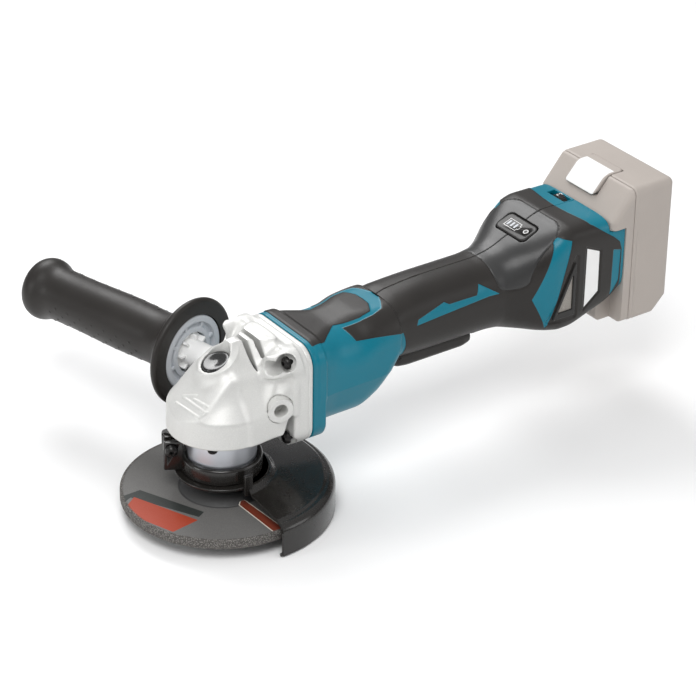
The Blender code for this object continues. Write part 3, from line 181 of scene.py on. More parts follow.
def gear_field(x, y, z):
    ay = np.abs(y)
    # a ridge runs back over the nose, with a lower shoulder round it
    front = (z - x - 98.0) * 0.7071
    crown = z - pick(x, (-14, 89.0), (-3, 93.8), (6, 94.0), (15, 93.6), (18, 94.0), (21, 97.4), (25, 99.2),
                     (30, 101.0))
    arch = 6.5 * (ay / 20.0) ** 2 * step(31.0, 16.0, x)
    top = smax(front + 0.5 * arch, crown + arch, 3.0)
    half = pick(x, (-32, 17.5), (-22, 18.0), (-8, 18.0), (4, 18.5), (18, 19.0), (31, 23.0))
    ridge = smax(top, (ay - half + 0.45 * top) * 0.9, 1.8)
    reach = np.hypot(np.minimum(x, 0.0), y)
    lift = 12.0 * step(10.0, 31.0, x)
    shoulder = (z - 66.0 - lift - 1.22 * (33.4 - reach)) * 0.64
    roof = smax(smin(ridge, shoulder, 3.6), front, 1.5)
    rim = np.maximum(np.hypot(x - LOCK_X, y) - 10.8, (z - 93.2) * 0.94 - (x - LOCK_X) * 0.342)
    roof = smin(roof, rim, 5.0)
    wall = np.hypot(x, y) - 33.0 - 0.03 * (66.0 - z)
    nose = smax(wall, roof, 1.1)
    waist = smax(slab(y, z - 74.0, 33.2, 40.0, 3.0), np.maximum(-x, x - 33.0), 2.0)
    waist = smax(waist, roof, 3.0)
    # the belly between the nose and the flange is hollowed round the lower screws
    belly = z - 49.3 - 12.0 * step(22.0, 28.0, x) * step(10.0, 18.0, ay)
    body = smax(smin(nose, waist, 4.0), -belly, 1.5)
    body = smax(body, 49.3 - z, 1.8)
    flange = smax(flange_outline(y, z), np.abs(x - 37.8) - 6.8, 1.4)
    body = smin(body, flange, 3.0)
    # corner ears that carry the flange screws
    for sy in (-1, 1):
        for sz in (-1, 1):
            centre = (sy * SCREW, MOTOR_Z + sz * SCREW)
            if sz > 0:
                ear = rod(x, y, z, (17.0, *centre), (36.0, *centre), 7.6)
                body = smin(body, smax(ear, (ay - 31.0 - 0.9 * (x - 24.0)) * 0.74, 1.5), 4.5)
            seat = rod(x, y, z, (-10.0, *centre), (30.9, *centre), 5.1)
            scoop = rod(x, y, z, (31.2, *centre), (10.0, centre[0] + sy * 21.0, centre[1] + sz * 15.0), 5.6)
            body = smax(body, -np.minimum(seat, scoop), 0.8)
    for side in (-1, 1):
        boss = rod(x, y, z, socket_point(side, 18.0), socket_point(side, 36.0), 7.9)
        moat = np.abs(rod(x, y, z, socket_point(side, 30.0), socket_point(side, 40.0), 8.3)) - 0.35
        body = smin(smax(body, -moat, 0.4), boss, 0.8)
        hole = rod(x, y, z, socket_point(side, 27.6), socket_point(side, 40.0), 4.2)
        body = smax(body, -hole, 0.7)
    # cooling slots, lock pocket and the raised arrow on the nose
    for centre, middle, half, thick in ((14.4, -1.5, 16.5, 1.5), (20.6, -1.0, 15.5, 1.8)):
        slot = np.maximum(np.abs(x - centre) - thick * np.sqrt(np.clip(1.0 - ((y - middle) / half) ** 2, 0.0,
                                                                       1.0)), np.abs(y - middle) - half)
        body = smax(body, -np.maximum(slot, POCKET_FLOOR - z), 0.6)
    pocket = np.hypot(x - LOCK_X, y) - 8.8
    body = smax(body, -np.maximum(pocket, POCKET_FLOOR - z), 0.7)
    up = (x + z - 48.0) * 0.7071
    lines = None
    for start, end in ARROW:
        line = stroke(y, up, start, end, 0.35)
        lines = line if lines is None else np.minimum(lines, line)
    body = body - 0.5 * (1.0 - step(0.0, 0.7, lines)) * step(-3.0, -1.0, front)
    # the parting step round the flange
    groove = np.abs(x - 41.4) + np.abs(np.minimum(np.abs(flange_outline(y, z)), 3.0)) * 0.6
    return body + 0.35 * (1.0 - step(0.0, 0.9, groove))


def gear_inside(x, y, z):
    chamber = np.maximum(np.hypot(x, y) - 23.2, z - 71.0)
    tunnel = rod(x, y, z, (9.5, 0, MOTOR_Z), (60, 0, MOTOR_Z), 24.8)
    return np.minimum(chamber, tunnel)


def gear_whole(x, y, z):
    return np.maximum(gear_field(x, y, z), -gear_inside(x, y, z))


# Motor housing


def motor_field(x, y, z):
    top = pick(x, (46, 101.4), (58, 100.8), (70, 100.4), (80, 101.4), (92, 103.4), (108, 104.2), (114, 104.4))
    bottom = pick(x, (54, 39.6), (84, 39.6), (97, 46.0), (108, 58.6), (114, 65.6))
    half = pick(x, (46, 32.8), (56, 31.6), (66, 30.7), (86, 30.5), (97, 30.2), (108, 29.6), (114, 28.6))
    narrow = half - 0.30 * np.maximum(65.5 - z, 0.0)
    middle = (top + bottom) / 2
    r = pick(x, (46, 13.0), (58, 16.0), (72, 23.0), (84, 25.0), (96, 21.0),
             (113, 18.0)) * step(45.0, 75.0, z) + 12.0 * step(75.0, 45.0, z)
    q_y = np.abs(y) - narrow + r
    q_z = np.abs(z - middle) - (top - bottom) / 2 + r
    body = np.hypot(np.maximum(q_y, 0), np.maximum(q_z, 0)) + np.minimum(np.maximum(q_y, q_z), 0) - r
    body = smax(body, np.maximum(50.0 - x, x - 113.0), 1.2)
    band = smax(flange_outline(y, z), np.abs(x - 49.6) - 4.7, 0.9)
    return smin(body, band, 2.4)


def motor_whole(x, y, z):
    body = motor_field(x, y, z) - 0.35 * step(-0.25, 0.25, -motor_dark(x, y, z))
    bore = rod(x, y, z, (40, 0, MOTOR_Z), (94, 0, MOTOR_Z), 27.0)
    mouth = np.maximum(oval(y, z, 23.0, 103.0, 67.0, 2.6), 103.5 - x)
    rear = rod(x, y, z, (90, 0, MOTOR_Z), (101, 0, MOTOR_Z), 8.3)
    return np.maximum(body, -np.minimum(np.minimum(bore, mouth), rear))


def motor_dark(x, y, z):
    """Negative where the soft black skin covers the teal housing."""
    around = np.degrees(np.arctan2(np.abs(y), z - 71.0))
    u, v = x, around * 0.52
    saddle = outline(u, v, [(48.2, -5), (48.2, 21.6), (58.6, 21.0), (66.8, 15.6), (72.6, 11.4), (79.3, 12.6),
                            (90.1, 13.6), (98.6, 12.4), (102.6, 6.0), (103.6, -5)], 0.3)
    tube = outline(u, v, [(77.4, 15.8), (81.6, 25.2), (95.0, 27.0), (113.5, 29.4), (130, 29.4), (130, 3.0),
                          (113.2, 3.0), (110.8, 8.0), (106.6, 13.6), (98.7, 15.6), (88.4, 16.2)], 0.3)
    return np.minimum(saddle, tube)


# Grip and base

GRIP = dict(
    half=((113, 25.6), (120, 24.6), (150, 24.0), (184, 24.0), (196, 24.4), (204, 26.5), (211, 30.0),
          (217, 33.2), (223, 35.2), (229, 36.4), (242, 36.6), (283, 36.6)),
    top=((113, 104.4), (120, 106.4), (150, 108.4), (184, 108.4), (196, 109.8), (204, 112.0), (212, 115.4),
         (222.6, 119.9), (230, 123.2), (236, 125.6), (243, 127.0), (256, 126.8), (283, 126.4)),
    bottom=((113, 65.0), (120, 62.4), (150, 60.0), (184, 60.0), (196, 59.0), (210, 56.4), (228, 54.6),
            (240, 55.2), (256, 60.0), (270, 65.0), (283, 73.0)),
    power=((113, 2.6), (150, 2.4), (196, 2.4), (206, 2.7), (214, 3.2), (222, 4.2), (228, 5.2), (235, 7.0),
           (246, 7.5), (283, 7.0)),
)


def grip_field(x, y, z, inset=0.0):
    half, top = pick(x, *GRIP["half"]) - inset, pick(x, *GRIP["top"]) - inset
    bottom, power = pick(x, *GRIP["bottom"]) + inset, pick(x, *GRIP["power"])
    return oval(y, z, half, top, bottom, power)


VENT = [(243.0, 108.0), (243.0, 66.0), (224.0, 66.0)]
LABEL = [(250.4, 112.6), (262.0, 107.4), (262.3, 78.2), (250.2, 68.2)]
STRIPE = [(229.5, 123.5), (239.5, 120.3), (223.3, 59.5), (212.0, 84.0)]
RIM = [(256.4, 130.0), (256.4, 126.0), (264.0, 120.4), (273.0, 114.0), (277.8, 109.6), (279.6, 104.0),
       (279.6, 78.0), (276.0, 71.0), (283.0, 64.0), (292.0, 64.0), (292.0, 130.0)]
INLAY = [(273.0, 104.5), (278.2, 103.2), (277.6, 82.0), (272.6, 72.8)]


def hood_field(x, y, z):
    """The satin panel round the gauge on the front of the hood."""
    return smax(slab(x - 215.0, y, 24.5, 29.3, 13.0), 92.0 - z, 6.0)


def base_regions(x, y, z):
    """Which colour the grip and base show: negative distances to the teal."""
    side = np.abs(y)
    flat = step(20.0, 30.0, side)
    stripe = outline(x, z, STRIPE, -0.4) + 30.0 * (1.0 - flat)
    inlay = outline(x, z, INLAY, 0.4) + 30.0 * (1.0 - flat)
    blade = outline(x, z, [(127.6, 88.4), (129.0, 92.2), (150.0, 97.4), (153.5, 95.2), (175.0, 95.0),
                           (178.0, 101.0), (192.7, 91.3), (184.0, 91.8)],
                    -0.1) + 30.0 * (1.0 - step(5.0, 12.0, side))
    # the teal rear frame: over the top behind the hood and down the rear edge of each flank
    top = np.maximum(252.6 + 0.0042 * side * side - x, 117.6 - z)
    rim = outline(x, z, RIM, 0.3)
    rear = np.where(side < 31.5, top, rim)
    root = np.maximum(np.maximum(x - 119.4 + 0.02 * (z - 76.0) ** 2, np.abs(z - 76.0) - 11.4), 15.0 - side)
    rear = np.minimum(rear, root)
    return np.minimum(np.minimum(stripe, inlay), np.minimum(blade, rear))


def grip_whole(x, y, z):
    teal = base_regions(x, y, z)
    body = grip_field(x, y, z) + 0.35 * step(-0.3, 0.3, -teal)
    side = np.abs(y)
    body = body + 0.45 * (1.0 - step(0.0, 0.55, np.abs(hood_field(x, y, z))))
    body = body + 0.7 * step(-0.6, 0.6, -outline(x, z, VENT, 1.6)) * step(24.0, 34.0, side)
    body = body + 0.5 * step(-0.3, 0.3, -outline(x, z, LABEL, 0.6)) * step(24.0, 34.0, side)
    cavity = np.maximum(grip_field(x, y, z, 2.6), x - 266.0)
    mouth = block(x, y, z, (115.6, -18.0, 30.0), (178.0, 18.0, 75.4), 1.0)
    rail = block(x, y, z, (269.7, -25.3, 20.0), (300.0, 25.3, 170.0), 0.4)
    shelf = np.maximum(269.4 - x, 117.4 - z)
    window = block(x, y, z, (250.0, -20.3, 75.7), (272.0, 20.3, 101.3), 0.2)
    vent = np.maximum(outline(x, z, VENT, -3.6), 31.0 - side)
    c, s = math.cos(GAUGE_TILT), math.sin(GAUGE_TILT)
    dx, dz = x - GAUGE_PLACE[0], z - GAUGE_PLACE[2]
    gx, gz = dx * c + dz * s, -dx * s + dz * c
    gauge = np.maximum(slab(gx, y, 7.9, 14.9, 4.0), -3.0 - gz)
    dial = block(x, y, z, (261.3, 1.4, 112.0), (267.7, 18.6, 140.0), 0.5)
    holes = np.minimum(np.minimum(cavity, mouth), np.minimum(np.minimum(rail, shelf),
                                                             np.minimum(window, vent)))
    holes = np.minimum(holes, np.minimum(gauge, dial))
    body = smax(body, -holes, 0.5)
    return np.maximum(body, np.maximum(113.3 - x, x - 281.8))


def grip_left(x, y, z):
    return smax(grip_whole(x, y, z), y + 0.12, 0.4)


def grip_right(x, y, z):
    return smax(grip_whole(x, y, z), 0.12 - y, 0.4)


# Battery


def pack_field(x, y, z, inset=0.0):
    side = outline(x, z, [(274.0, 52.0), (274.0, 122.3), (288.2, 139.2), (316.4, 139.2), (316.4, 60.5),
                          (307.9, 52.0)], 4.0 - inset)
    q = np.abs(y) - 37.5 + inset + 5.0
    w = side + 5.0
    return np.hypot(np.maximum(q, 0), np.maximum(w, 0)) + np.minimum(np.maximum(q, w), 0) - 5.0


def pack_skin(x, y, z):
    body = pack_field(x, y, z)
    # the rear shell stands a little proud of the front one, with a rib beside the seam
    body = body + 0.5 * (1.0 - step(288.4, 289.4, x))
    rib = np.abs(x - 291.5)
    return body + 0.35 * (1.0 - step(0.2, 0.9, rib)) * step(120.0, 110.0, z)


def cover_whole(x, y, z):
    body = pack_skin(x, y, z)
    side = np.maximum(np.maximum(25.0 - np.abs(y), x - 282.1), z - 117.8)
    hollow = np.maximum(pack_field(x, y, z, 2.2), 283.5 - x)
    slots = np.maximum(np.maximum(np.abs(np.abs(y) - 10.0) - 1.4, x - 277.5), z - 104.0)
    holes = np.minimum(np.minimum(side, hollow), np.minimum(slots, release_pocket(x, y, z)))
    return np.maximum(smax(body, -holes, 0.4), x - 287.9)


def case_whole(x, y, z):
    body = pack_skin(x, y, z)
    hollow = pack_field(x, y, z, 2.2)
    return np.maximum(smax(body, -np.minimum(hollow, release_pocket(x, y, z)), 0.4), 288.3 - x)


BROW_RUN, BROW_RISE = 15.5, 17.2


def release_depth(x, z, ease):
    """The distance above the slope over the battery's front edge and its top."""
    slope = ((z - 126.0) * BROW_RUN - (x - 270.0) * BROW_RISE) / math.hypot(BROW_RUN, BROW_RISE)
    return smax(slope, z - RELEASE_TOP, ease)


def release_pocket(x, y, z):
    along = np.maximum(131.0 - z, x - 299.4)
    side = np.maximum(np.abs(y - RELEASE_Y) - 15.4, -9.0)
    return np.maximum(np.maximum(side, along), -release_depth(x, z, 2.0) - 4.4)


def release_field(x, y, z):
    deep = release_depth(x, z, 3.0)
    side = np.abs(y - RELEASE_Y) - 15.0
    along = np.maximum(131.8 - z, x - 299.0)
    return smax(smax(side, along, 3.5), np.maximum(deep - 0.5, -deep - 3.6), 0.7)


# Meshes


def linked(name, data):
    """An object in the scene with its data."""
    obj = bpy.data.objects.new(name, data)
    bpy.context.scene.collection.objects.link(obj)
    return obj


def kept(shape, name, look, crease=None, smooth=True):
    """The object made from a bmesh, with edges sharper than the crease angle left hard."""
    mesh = bpy.data.meshes.new(name)
    shape.to_mesh(mesh)
    shape.free()
    if smooth:
        mesh.shade_smooth()
    if crease is not None:
        mesh.set_sharp_from_angle(angle=math.radians(crease))
    mesh.materials.append(look)
    return linked(name, mesh)


def loft(shape, rows):
    """Bands between closed rows of points, with a cap on each end."""
    count = len(rows[0])
    for near, far in zip(rows, rows[1:]):
        for k in range(count):
            shape.faces.new((near[k], near[(k + 1) % count], far[(k + 1) % count], far[k]))
    shape.faces.new(rows[0])
    shape.faces.new(rows[-1])
    bmesh.ops.recalc_face_normals(shape, faces=shape.faces)


def mesh_object(name, points, faces, look):
    """An object from points in millimetres and equal-sided faces."""
    faces = np.asarray(faces, np.int32)
    mesh = bpy.data.meshes.new(name)
    mesh.vertices.add(len(points))
    mesh.vertices.foreach_set("co", (np.asarray(points, np.float64) * MM).astype(np.float32).ravel())
    count, sides = faces.shape
    mesh.loops.add(count * sides)
    mesh.loops.foreach_set("vertex_index", faces.ravel())
    mesh.polygons.add(count)
    mesh.polygons.foreach_set("loop_start", np.arange(0, count * sides, sides, dtype=np.int32))
    mesh.update(calc_edges=True)
    mesh.polygons.foreach_set("use_smooth", np.full(count, True))
    mesh.validate()
    mesh.set_sharp_from_angle(angle=math.radians(38.0))
    mesh.materials.append(look)
    return linked(name, mesh)


def sculpt(name, field, low, high, voxel, look, marks=None):
    """The skin of a field inside a box. marks are {attribute name: field} kept on its points."""
    low, high = np.array(low, float) - 2.5 * voxel, np.array(high, float) + 2.5 * voxel
    counts = np.ceil((high - low) / voxel).astype(int) + 1
    axes = [(low[k] + voxel * np.arange(counts[k])).astype(np.float32) for k in range(3)]
    x, y, z = axes[0][:, None, None], axes[1][None, :, None], axes[2][None, None, :]
    values = np.broadcast_to(field(x, y, z), counts)
    values = np.ascontiguousarray(np.clip(values, -3 * voxel, 3 * voxel).astype(np.float32))
    grid = openvdb.FloatGrid(3 * voxel)
    grid.copyFromArray(values)
    points, quads = grid.convertToQuads(0.0)
    points = low + voxel * np.asarray(points, float)
    h = 0.2 * voxel
    for _ in range(2):
        x, y, z = points.T
        value = field(x, y, z)
        slope = np.stack([field(x + h, y, z) - field(x - h, y, z), field(x, y + h, z) - field(x, y - h, z),
                          field(x, y, z + h) - field(x, y, z - h)], 1) / (2 * h)
        size = np.maximum((slope ** 2).sum(1), 0.25)
        points = points - slope * np.clip(value / size, -0.45 * voxel, 0.45 * voxel)[:, None]
    quads = np.asarray(quads, np.int64)
    a, b, c, d = (points[quads[:, k]] for k in range(4))
    volume = (np.einsum("ij,ij->i", a, np.cross(b, c)) + np.einsum("ij,ij->i", a, np.cross(c, d))).sum()
    if volume < 0:
        quads = quads[:, ::-1]
    obj = mesh_object(name, points, quads, look)
    for mark, rule in (marks or {}).items():
        attribute = obj.data.attributes.new(mark, "FLOAT", "POINT")
        attribute.data.foreach_set("value", np.ascontiguousarray(rule(*points.T), np.float32))
    return obj


def eased(profile, closed):
    """A profile of (radius, height, easing) points with its corners rounded."""
    count = len(profile)
    made = []
    for k, (r, t, ease) in enumerate(profile):
        here = np.array((r, t), float)
        if not closed and k in (0, count - 1) or ease == 0:
            made.append(tuple(here))
            continue
        before = np.array(profile[k - 1][:2], float)
        after = np.array(profile[(k + 1) % count][:2], float)
        to_before, to_after = before - here, after - here
        long_before, long_after = np.linalg.norm(to_before), np.linalg.norm(to_after)
        reach = min(ease, 0.48 * long_before, 0.48 * long_after)
        start, end = here + to_before / long_before * reach, here + to_after / long_after * reach
        for s in np.linspace(0, 1, 5):
            made.append(tuple((1 - s) ** 2 * start + 2 * s * (1 - s) * here + s * s * end))
    return np.array(made)


def aim(way):
    """The shortest turn from +Z to a direction."""
    return Vector((0, 0, 1)).rotation_difference(Vector(way)).to_matrix()


def lathe(name, profile, look, place=(0, 0, 0), way=(0, 0, 1), steps=96, closed=False, sweep=None):
    """A turned skin about the line through place along way, or an arc of one when sweep gives its angles."""
    line = eased([p if len(p) == 3 else (*p, 0.4) for p in profile], closed)
    rows = len(line)
    full = sweep is None
    count = steps if full else steps + 1
    turns = np.linspace(0, 2 * math.pi, steps,
                        endpoint=False) if full else np.radians(np.linspace(*sweep, count))
    points = np.stack([np.outer(np.cos(turns), line[:, 0]), np.outer(np.sin(turns), line[:, 0]),
                       np.outer(np.ones(count), line[:, 1])], 2).reshape(-1, 3)
    turn = np.array(aim(way))
    points = points @ turn.T + np.array(place, float)
    faces = []
    last = count if full else count - 1
    for k in range(last):
        k2 = (k + 1) % count
        span = rows if closed else rows - 1
        for j in range(span):
            j2 = (j + 1) % rows
            faces.append((k * rows + j, k2 * rows + j, k2 * rows + j2, k * rows + j2))
    shape = bmesh.new()
    made = [shape.verts.new(p * MM) for p in points]
    for face in faces:
        shape.faces.new([made[k] for k in face])
    if not full:
        shape.faces.new(made[:rows])
        shape.faces.new(made[-rows:])
    bmesh.ops.remove_doubles(shape, verts=shape.verts, dist=1e-6)
    bmesh.ops.recalc_face_normals(shape, faces=shape.faces)
    return kept(shape, name, look, 32.0)


# Finishes


def plug(tree, socket, value):
    """Links another node's output to a socket, or sets its value."""
    if isinstance(value, bpy.types.NodeSocket):
        tree.links.new(value, socket)
    else:
        socket.default_value = value


def wire(tree, kind, **inputs):
    """A node with its sockets set: a value, or another node's output to link."""
    made = tree.nodes.new(kind)
    for key, value in inputs.items():
        if key.startswith("p_"):
            setattr(made, key[2:], value)
            continue
        numbered = key[0] == "i" and key[1:].isdigit()
        socket = made.inputs[int(key[1:]) if numbered else key.replace("_", " ")]
        plug(tree, socket, value)
    return made


def noise(tree, place, scale, detail=3.0, rough=0.55):
    return wire(tree, "ShaderNodeTexNoise", Vector=place, Scale=scale, Detail=detail,
                Roughness=rough).outputs["Fac"]


def ranged(tree, value, a, b, c, d):
    return wire(tree, "ShaderNodeMapRange", Value=value, From_Min=a, From_Max=b, To_Min=c,
                To_Max=d).outputs["Result"]


def mixed(tree, kind, sockets, values):
    made = tree.nodes.new("ShaderNodeMix")
    made.data_type = kind
    for k, value in zip(sockets, values):
        plug(tree, made.inputs[k], value)
    return made


def tint(tree, fac, a, b):
    """A mix of two colours."""
    return mixed(tree, "RGBA", (0, 6, 7), (fac, a, b)).outputs[2]


def blend(tree, fac, a, b):
    """A mix of two values."""
    return mixed(tree, "FLOAT", (0, 2, 3), (fac, a, b)).outputs[0]


def add_up(tree, a, b, how="ADD"):
    made = tree.nodes.new("ShaderNodeMath")
    made.operation = how
    for socket, value in zip(made.inputs, (a, b)):
        plug(tree, socket, value)
    return made.outputs[0]


def mark_of(tree, mark, edge=0.05):
    """0 outside and 1 inside a marked region."""
    value = wire(tree, "ShaderNodeAttribute", p_attribute_name=mark).outputs["Fac"]
    return ranged(tree, value, edge, -edge, 0.0, 1.0)


def finish_nodes(tree, place, spec):
    """Colour, roughness, metal and height for one kind of surface."""
    colour = (*spec["colour"], 1.0)
    deep = tuple(c * spec["deep"] for c in spec["colour"]) + (1.0,)
    broad = noise(tree, place, 45.0, 4.0)
    fine = noise(tree, place, spec["fine"], 2.0, 0.7)
    base = tint(tree, ranged(tree, broad, 0.35, 0.7, 0.0, 1.0), deep, colour)
    if spec.get("speckle"):
        light = tuple(min(1.0, c * 1.18) for c in spec["colour"]) + (1.0,)
        base = tint(tree, ranged(tree, fine, 0.52, 0.68, 0.0, spec["speckle"]), base, light)
        dark = tuple(c * 0.72 for c in spec["colour"]) + (1.0,)
        grit = noise(tree, place, spec["fine"] * 1.9, 1.0)
        base = tint(tree, ranged(tree, grit, 0.58, 0.72, 0.0, spec["speckle"]), base, dark)
    swing = spec.get("swing", 0.06)
    rough = ranged(tree, add_up(tree, broad, fine, "MULTIPLY"), 0.12, 0.42, spec["rough"] - swing,
                   spec["rough"] + swing)
    height = add_up(tree, add_up(tree, fine, spec["bump"], "MULTIPLY"), add_up(tree, broad, 0.15, "MULTIPLY"))
    return base, rough, spec.get("metal", 0.0), height


SPECS = {
    "cast": dict(colour=(0.66, 0.66, 0.64), rough=0.46, metal=0.30, fine=1500.0, speckle=0.40, bump=0.55,
                 deep=0.93),
    "neck": dict(colour=(0.60, 0.62, 0.66), rough=0.36, metal=0.85, fine=1800.0, speckle=0.15, bump=0.3,
                 deep=0.93),
    "steel": dict(colour=(0.50, 0.50, 0.51), rough=0.32, metal=1.0, fine=900.0, bump=0.15, deep=0.85),
    "guard": dict(colour=(0.016, 0.0145, 0.013), rough=0.24, fine=900.0, bump=0.06, deep=0.85),
    "bolt": dict(colour=(0.035, 0.034, 0.033), rough=0.30, metal=0.6, fine=1200.0, bump=0.15, deep=0.8),
    "teal": dict(colour=(0.0, 0.165, 0.235), rough=0.36, fine=1900.0, bump=0.30, deep=0.95),
    "skin": dict(colour=(0.021, 0.0185, 0.0165), rough=0.44, fine=2300.0, bump=0.45, deep=0.88),
    "hood": dict(colour=(0.040, 0.040, 0.040), rough=0.34, fine=2300.0, bump=0.15, deep=0.9),
    "black": dict(colour=(0.024, 0.023, 0.022), rough=0.38, fine=2000.0, bump=0.3, deep=0.85),
    "gloss": dict(colour=(0.012, 0.012, 0.012), rough=0.14, fine=900.0, bump=0.04, swing=0.03, deep=0.9),
    "white": dict(colour=(0.86, 0.86, 0.85), rough=0.40, fine=1800.0, bump=0.12, deep=0.97),
    "ring": dict(colour=(0.56, 0.585, 0.62), rough=0.42, fine=1800.0, bump=0.15, deep=0.93),
    "pack": dict(colour=(0.425, 0.382, 0.348), rough=0.50, fine=2000.0, bump=0.3, deep=0.96),
    "copper": dict(colour=(0.72, 0.33, 0.16), rough=0.35, metal=1.0, fine=1400.0, bump=0.4, deep=0.8),
    "sheet": dict(colour=(0.33, 0.33, 0.35), rough=0.42, metal=0.9, fine=900.0, bump=0.5, deep=0.8),
    "cells": dict(colour=(0.05, 0.25, 0.20), rough=0.35, fine=900.0, bump=0.1, deep=0.9),
    "board": dict(colour=(0.03, 0.05, 0.035), rough=0.5, fine=900.0, bump=0.3, deep=0.8),
}


def material(name, build):
    made = bpy.data.materials.new(name)
    made.use_nodes = True
    tree = made.node_tree
    tree.nodes.clear()
    place = wire(tree, "ShaderNodeTexCoord").outputs["Object"]
    base, rough, metal, height, extra = build(tree, place)
    bump = wire(tree, "ShaderNodeBump", Height=height, Strength=extra.get("strength", 0.35), Distance=0.00022)
    shader = wire(tree, "ShaderNodeBsdfPrincipled", Base_Color=base, Roughness=rough, Metallic=metal,
                  Normal=bump.outputs["Normal"])
    shader.inputs["Specular IOR Level"].default_value = 0.32
    shader.inputs["Coat Weight"].default_value = extra.get("coat", 0.0)
    shader.inputs["Coat Roughness"].default_value = 0.12
    wire(tree, "ShaderNodeOutputMaterial", Surface=shader.outputs["BSDF"])
    made.diffuse_color = (0.5, 0.5, 0.5, 1.0)
    return made


def plain(kind, **extra):
    def build(tree, place):
        return (*finish_nodes(tree, place, SPECS[kind]), extra)
    return material(kind + "_finish", build)


def layered(name, first, *others):
    """A finish with others laid over the first wherever their marks say."""
    def build(tree, place):
        base, rough, metal, height = finish_nodes(tree, place, SPECS[first])
        for kind, mark in others:
            fac = mark_of(tree, mark)
            base2, rough2, metal2, height2 = finish_nodes(tree, place, SPECS[kind])
            base = tint(tree, fac, base, base2)
            rough = blend(tree, fac, rough, rough2)
            metal = blend(tree, fac, metal, metal2)
            height = blend(tree, fac, height, height2)
        return base, rough, metal, height, {}
    return material(name, build)


CAST, NECK, STEEL = plain("cast", strength=0.5), plain("neck"), plain("steel")
GUARD, BOLT, BLACK = plain("guard", coat=0.4), plain("bolt"), plain("black")
GLOSS, WHITE, RING = plain("gloss", coat=0.5), plain("white"), plain("ring")
PACK, COPPER, SHEET = plain("pack"), plain("copper"), plain("sheet")
CELLS, BOARD, SKIN = plain("cells"), plain("board"), plain("skin")
CATCH = layered("catch_finish", "pack", ("white", "white"))
MOTOR = layered("motor_finish", "teal", ("skin", "dark"))
BASE = layered("base_finish", "skin", ("teal", "teal"), ("white", "label"), ("hood", "hood"))


def wheel_finish(tree, place):
    """Grey reinforced face, darker hub, open grit at the rim and a plain printed patch and band."""
    split = wire(tree, "ShaderNodeSeparateXYZ", Vector=place)
    x, y = split.outputs[:2]
    flat = wire(tree, "ShaderNodeCombineXYZ", X=x, Y=y).outputs[0]
    radius = wire(tree, "ShaderNodeVectorMath", p_operation="LENGTH", i0=flat).outputs["Value"]
    grit = wire(tree, "ShaderNodeTexVoronoi", Vector=place, Scale=1150.0).outputs["Distance"]
    fine = noise(tree, place, 2100.0, 2.0, 0.8)
    rim = ranged(tree, add_up(tree, radius, add_up(tree, fine, 0.0016, "MULTIPLY")), 0.0612, 0.0620, 0.0, 1.0)
    face = tint(tree, ranged(tree, fine, 0.3, 0.7, 0.0, 1.0), (0.105, 0.103, 0.100, 1),
                (0.170, 0.167, 0.160, 1))
    raw = tint(tree, ranged(tree, grit, 0.1, 0.55, 0.0, 1.0), (0.30, 0.285, 0.265, 1),
               (0.085, 0.08, 0.075, 1))
    hub = ranged(tree, radius, 0.0268, 0.0272, 1.0, 0.0)
    base = tint(tree, hub, face, (0.060, 0.060, 0.060, 1))
    for mark, colour in (("patch_dark", (0.030, 0.034, 0.032, 1)), ("patch_red", (0.34, 0.045, 0.018, 1)),
                         ("band_pale", (0.62, 0.58, 0.50, 1)), ("band_red", (0.175, 0.035, 0.018, 1))):
        base = tint(tree, mark_of(tree, mark, 0.08), base, colour)
    base = tint(tree, rim, base, raw)
    rough = blend(tree, rim, ranged(tree, fine, 0.3, 0.7, 0.42, 0.6), 0.9)
    height = blend(tree, rim, add_up(tree, fine, 0.35, "MULTIPLY"), add_up(tree, grit, 2.2, "MULTIPLY"))
    return base, rough, 0.0, height, dict(strength=0.7)


def mesh_finish(tree, place):
    """Woven wire cloth."""
    split = wire(tree, "ShaderNodeSeparateXYZ", Vector=place)
    waves = []
    for axis in (0, 2):
        turned = add_up(tree, split.outputs[axis], 2 * math.pi / 0.00085, "MULTIPLY")
        waves.append(wire(tree, "ShaderNodeMath", p_operation="SINE", i0=turned).outputs[0])
    weave = add_up(tree, waves[0], waves[1], "MULTIPLY")
    base = tint(tree, ranged(tree, weave, -0.4, 0.6, 0.0, 1.0), (0.20, 0.185, 0.165, 1),
                (0.62, 0.58, 0.53, 1))
    return base, 0.45, 0.35, weave, dict(strength=0.6)


WHEEL = material("wheel_finish", wheel_finish)
SCREEN = material("screen_finish", mesh_finish)


# Pieces


def stands_for(obj, body, slot, *nodes):
    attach(obj, body)
    if nodes:
        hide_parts(*nodes)
    return obj


def joined(name, objects):
    """Several skins kept as one piece."""
    with bpy.context.temp_override(active_object=objects[0], selected_editable_objects=objects):
        bpy.ops.object.join()
    objects[0].name = name
    return objects[0]


def screw_piece(name, place, way, head, tall, shank, long):
    """A pan head with a lobed socket, and its shank. place is under the head, way points out of the head."""
    profile = [(0.0, tall, 0.0), (head * 0.55, tall, 0.5), (head * 0.93, tall * 0.62, 0.7),
               (head, tall * 0.2, 0.3), (head, 0.0, 0.2), (shank, 0.0, 0.1), (shank, -long, 0.3),
               (0.0, -long, 0.0)]
    skin = lathe(name + "_skin", profile, BOLT, place, way, steps=40)
    ring = []
    for k in range(48):
        turn = 2 * math.pi * k / 48
        r = head * (0.36 + 0.085 * math.cos(6 * turn))
        ring.append((r * math.cos(turn), r * math.sin(turn)))
    shape = bmesh.new()
    turn = aim(way)
    rows = [[shape.verts.new((turn @ Vector((x, y, z)) + Vector(place)) * MM) for x, y in ring]
            for z in (tall * 0.35, tall + 1.0)]
    loft(shape, rows)
    cutter = kept(shape, name + "_socket", BOLT, smooth=False)
    cut_with(skin, cutter)
    skin.name = name
    return skin


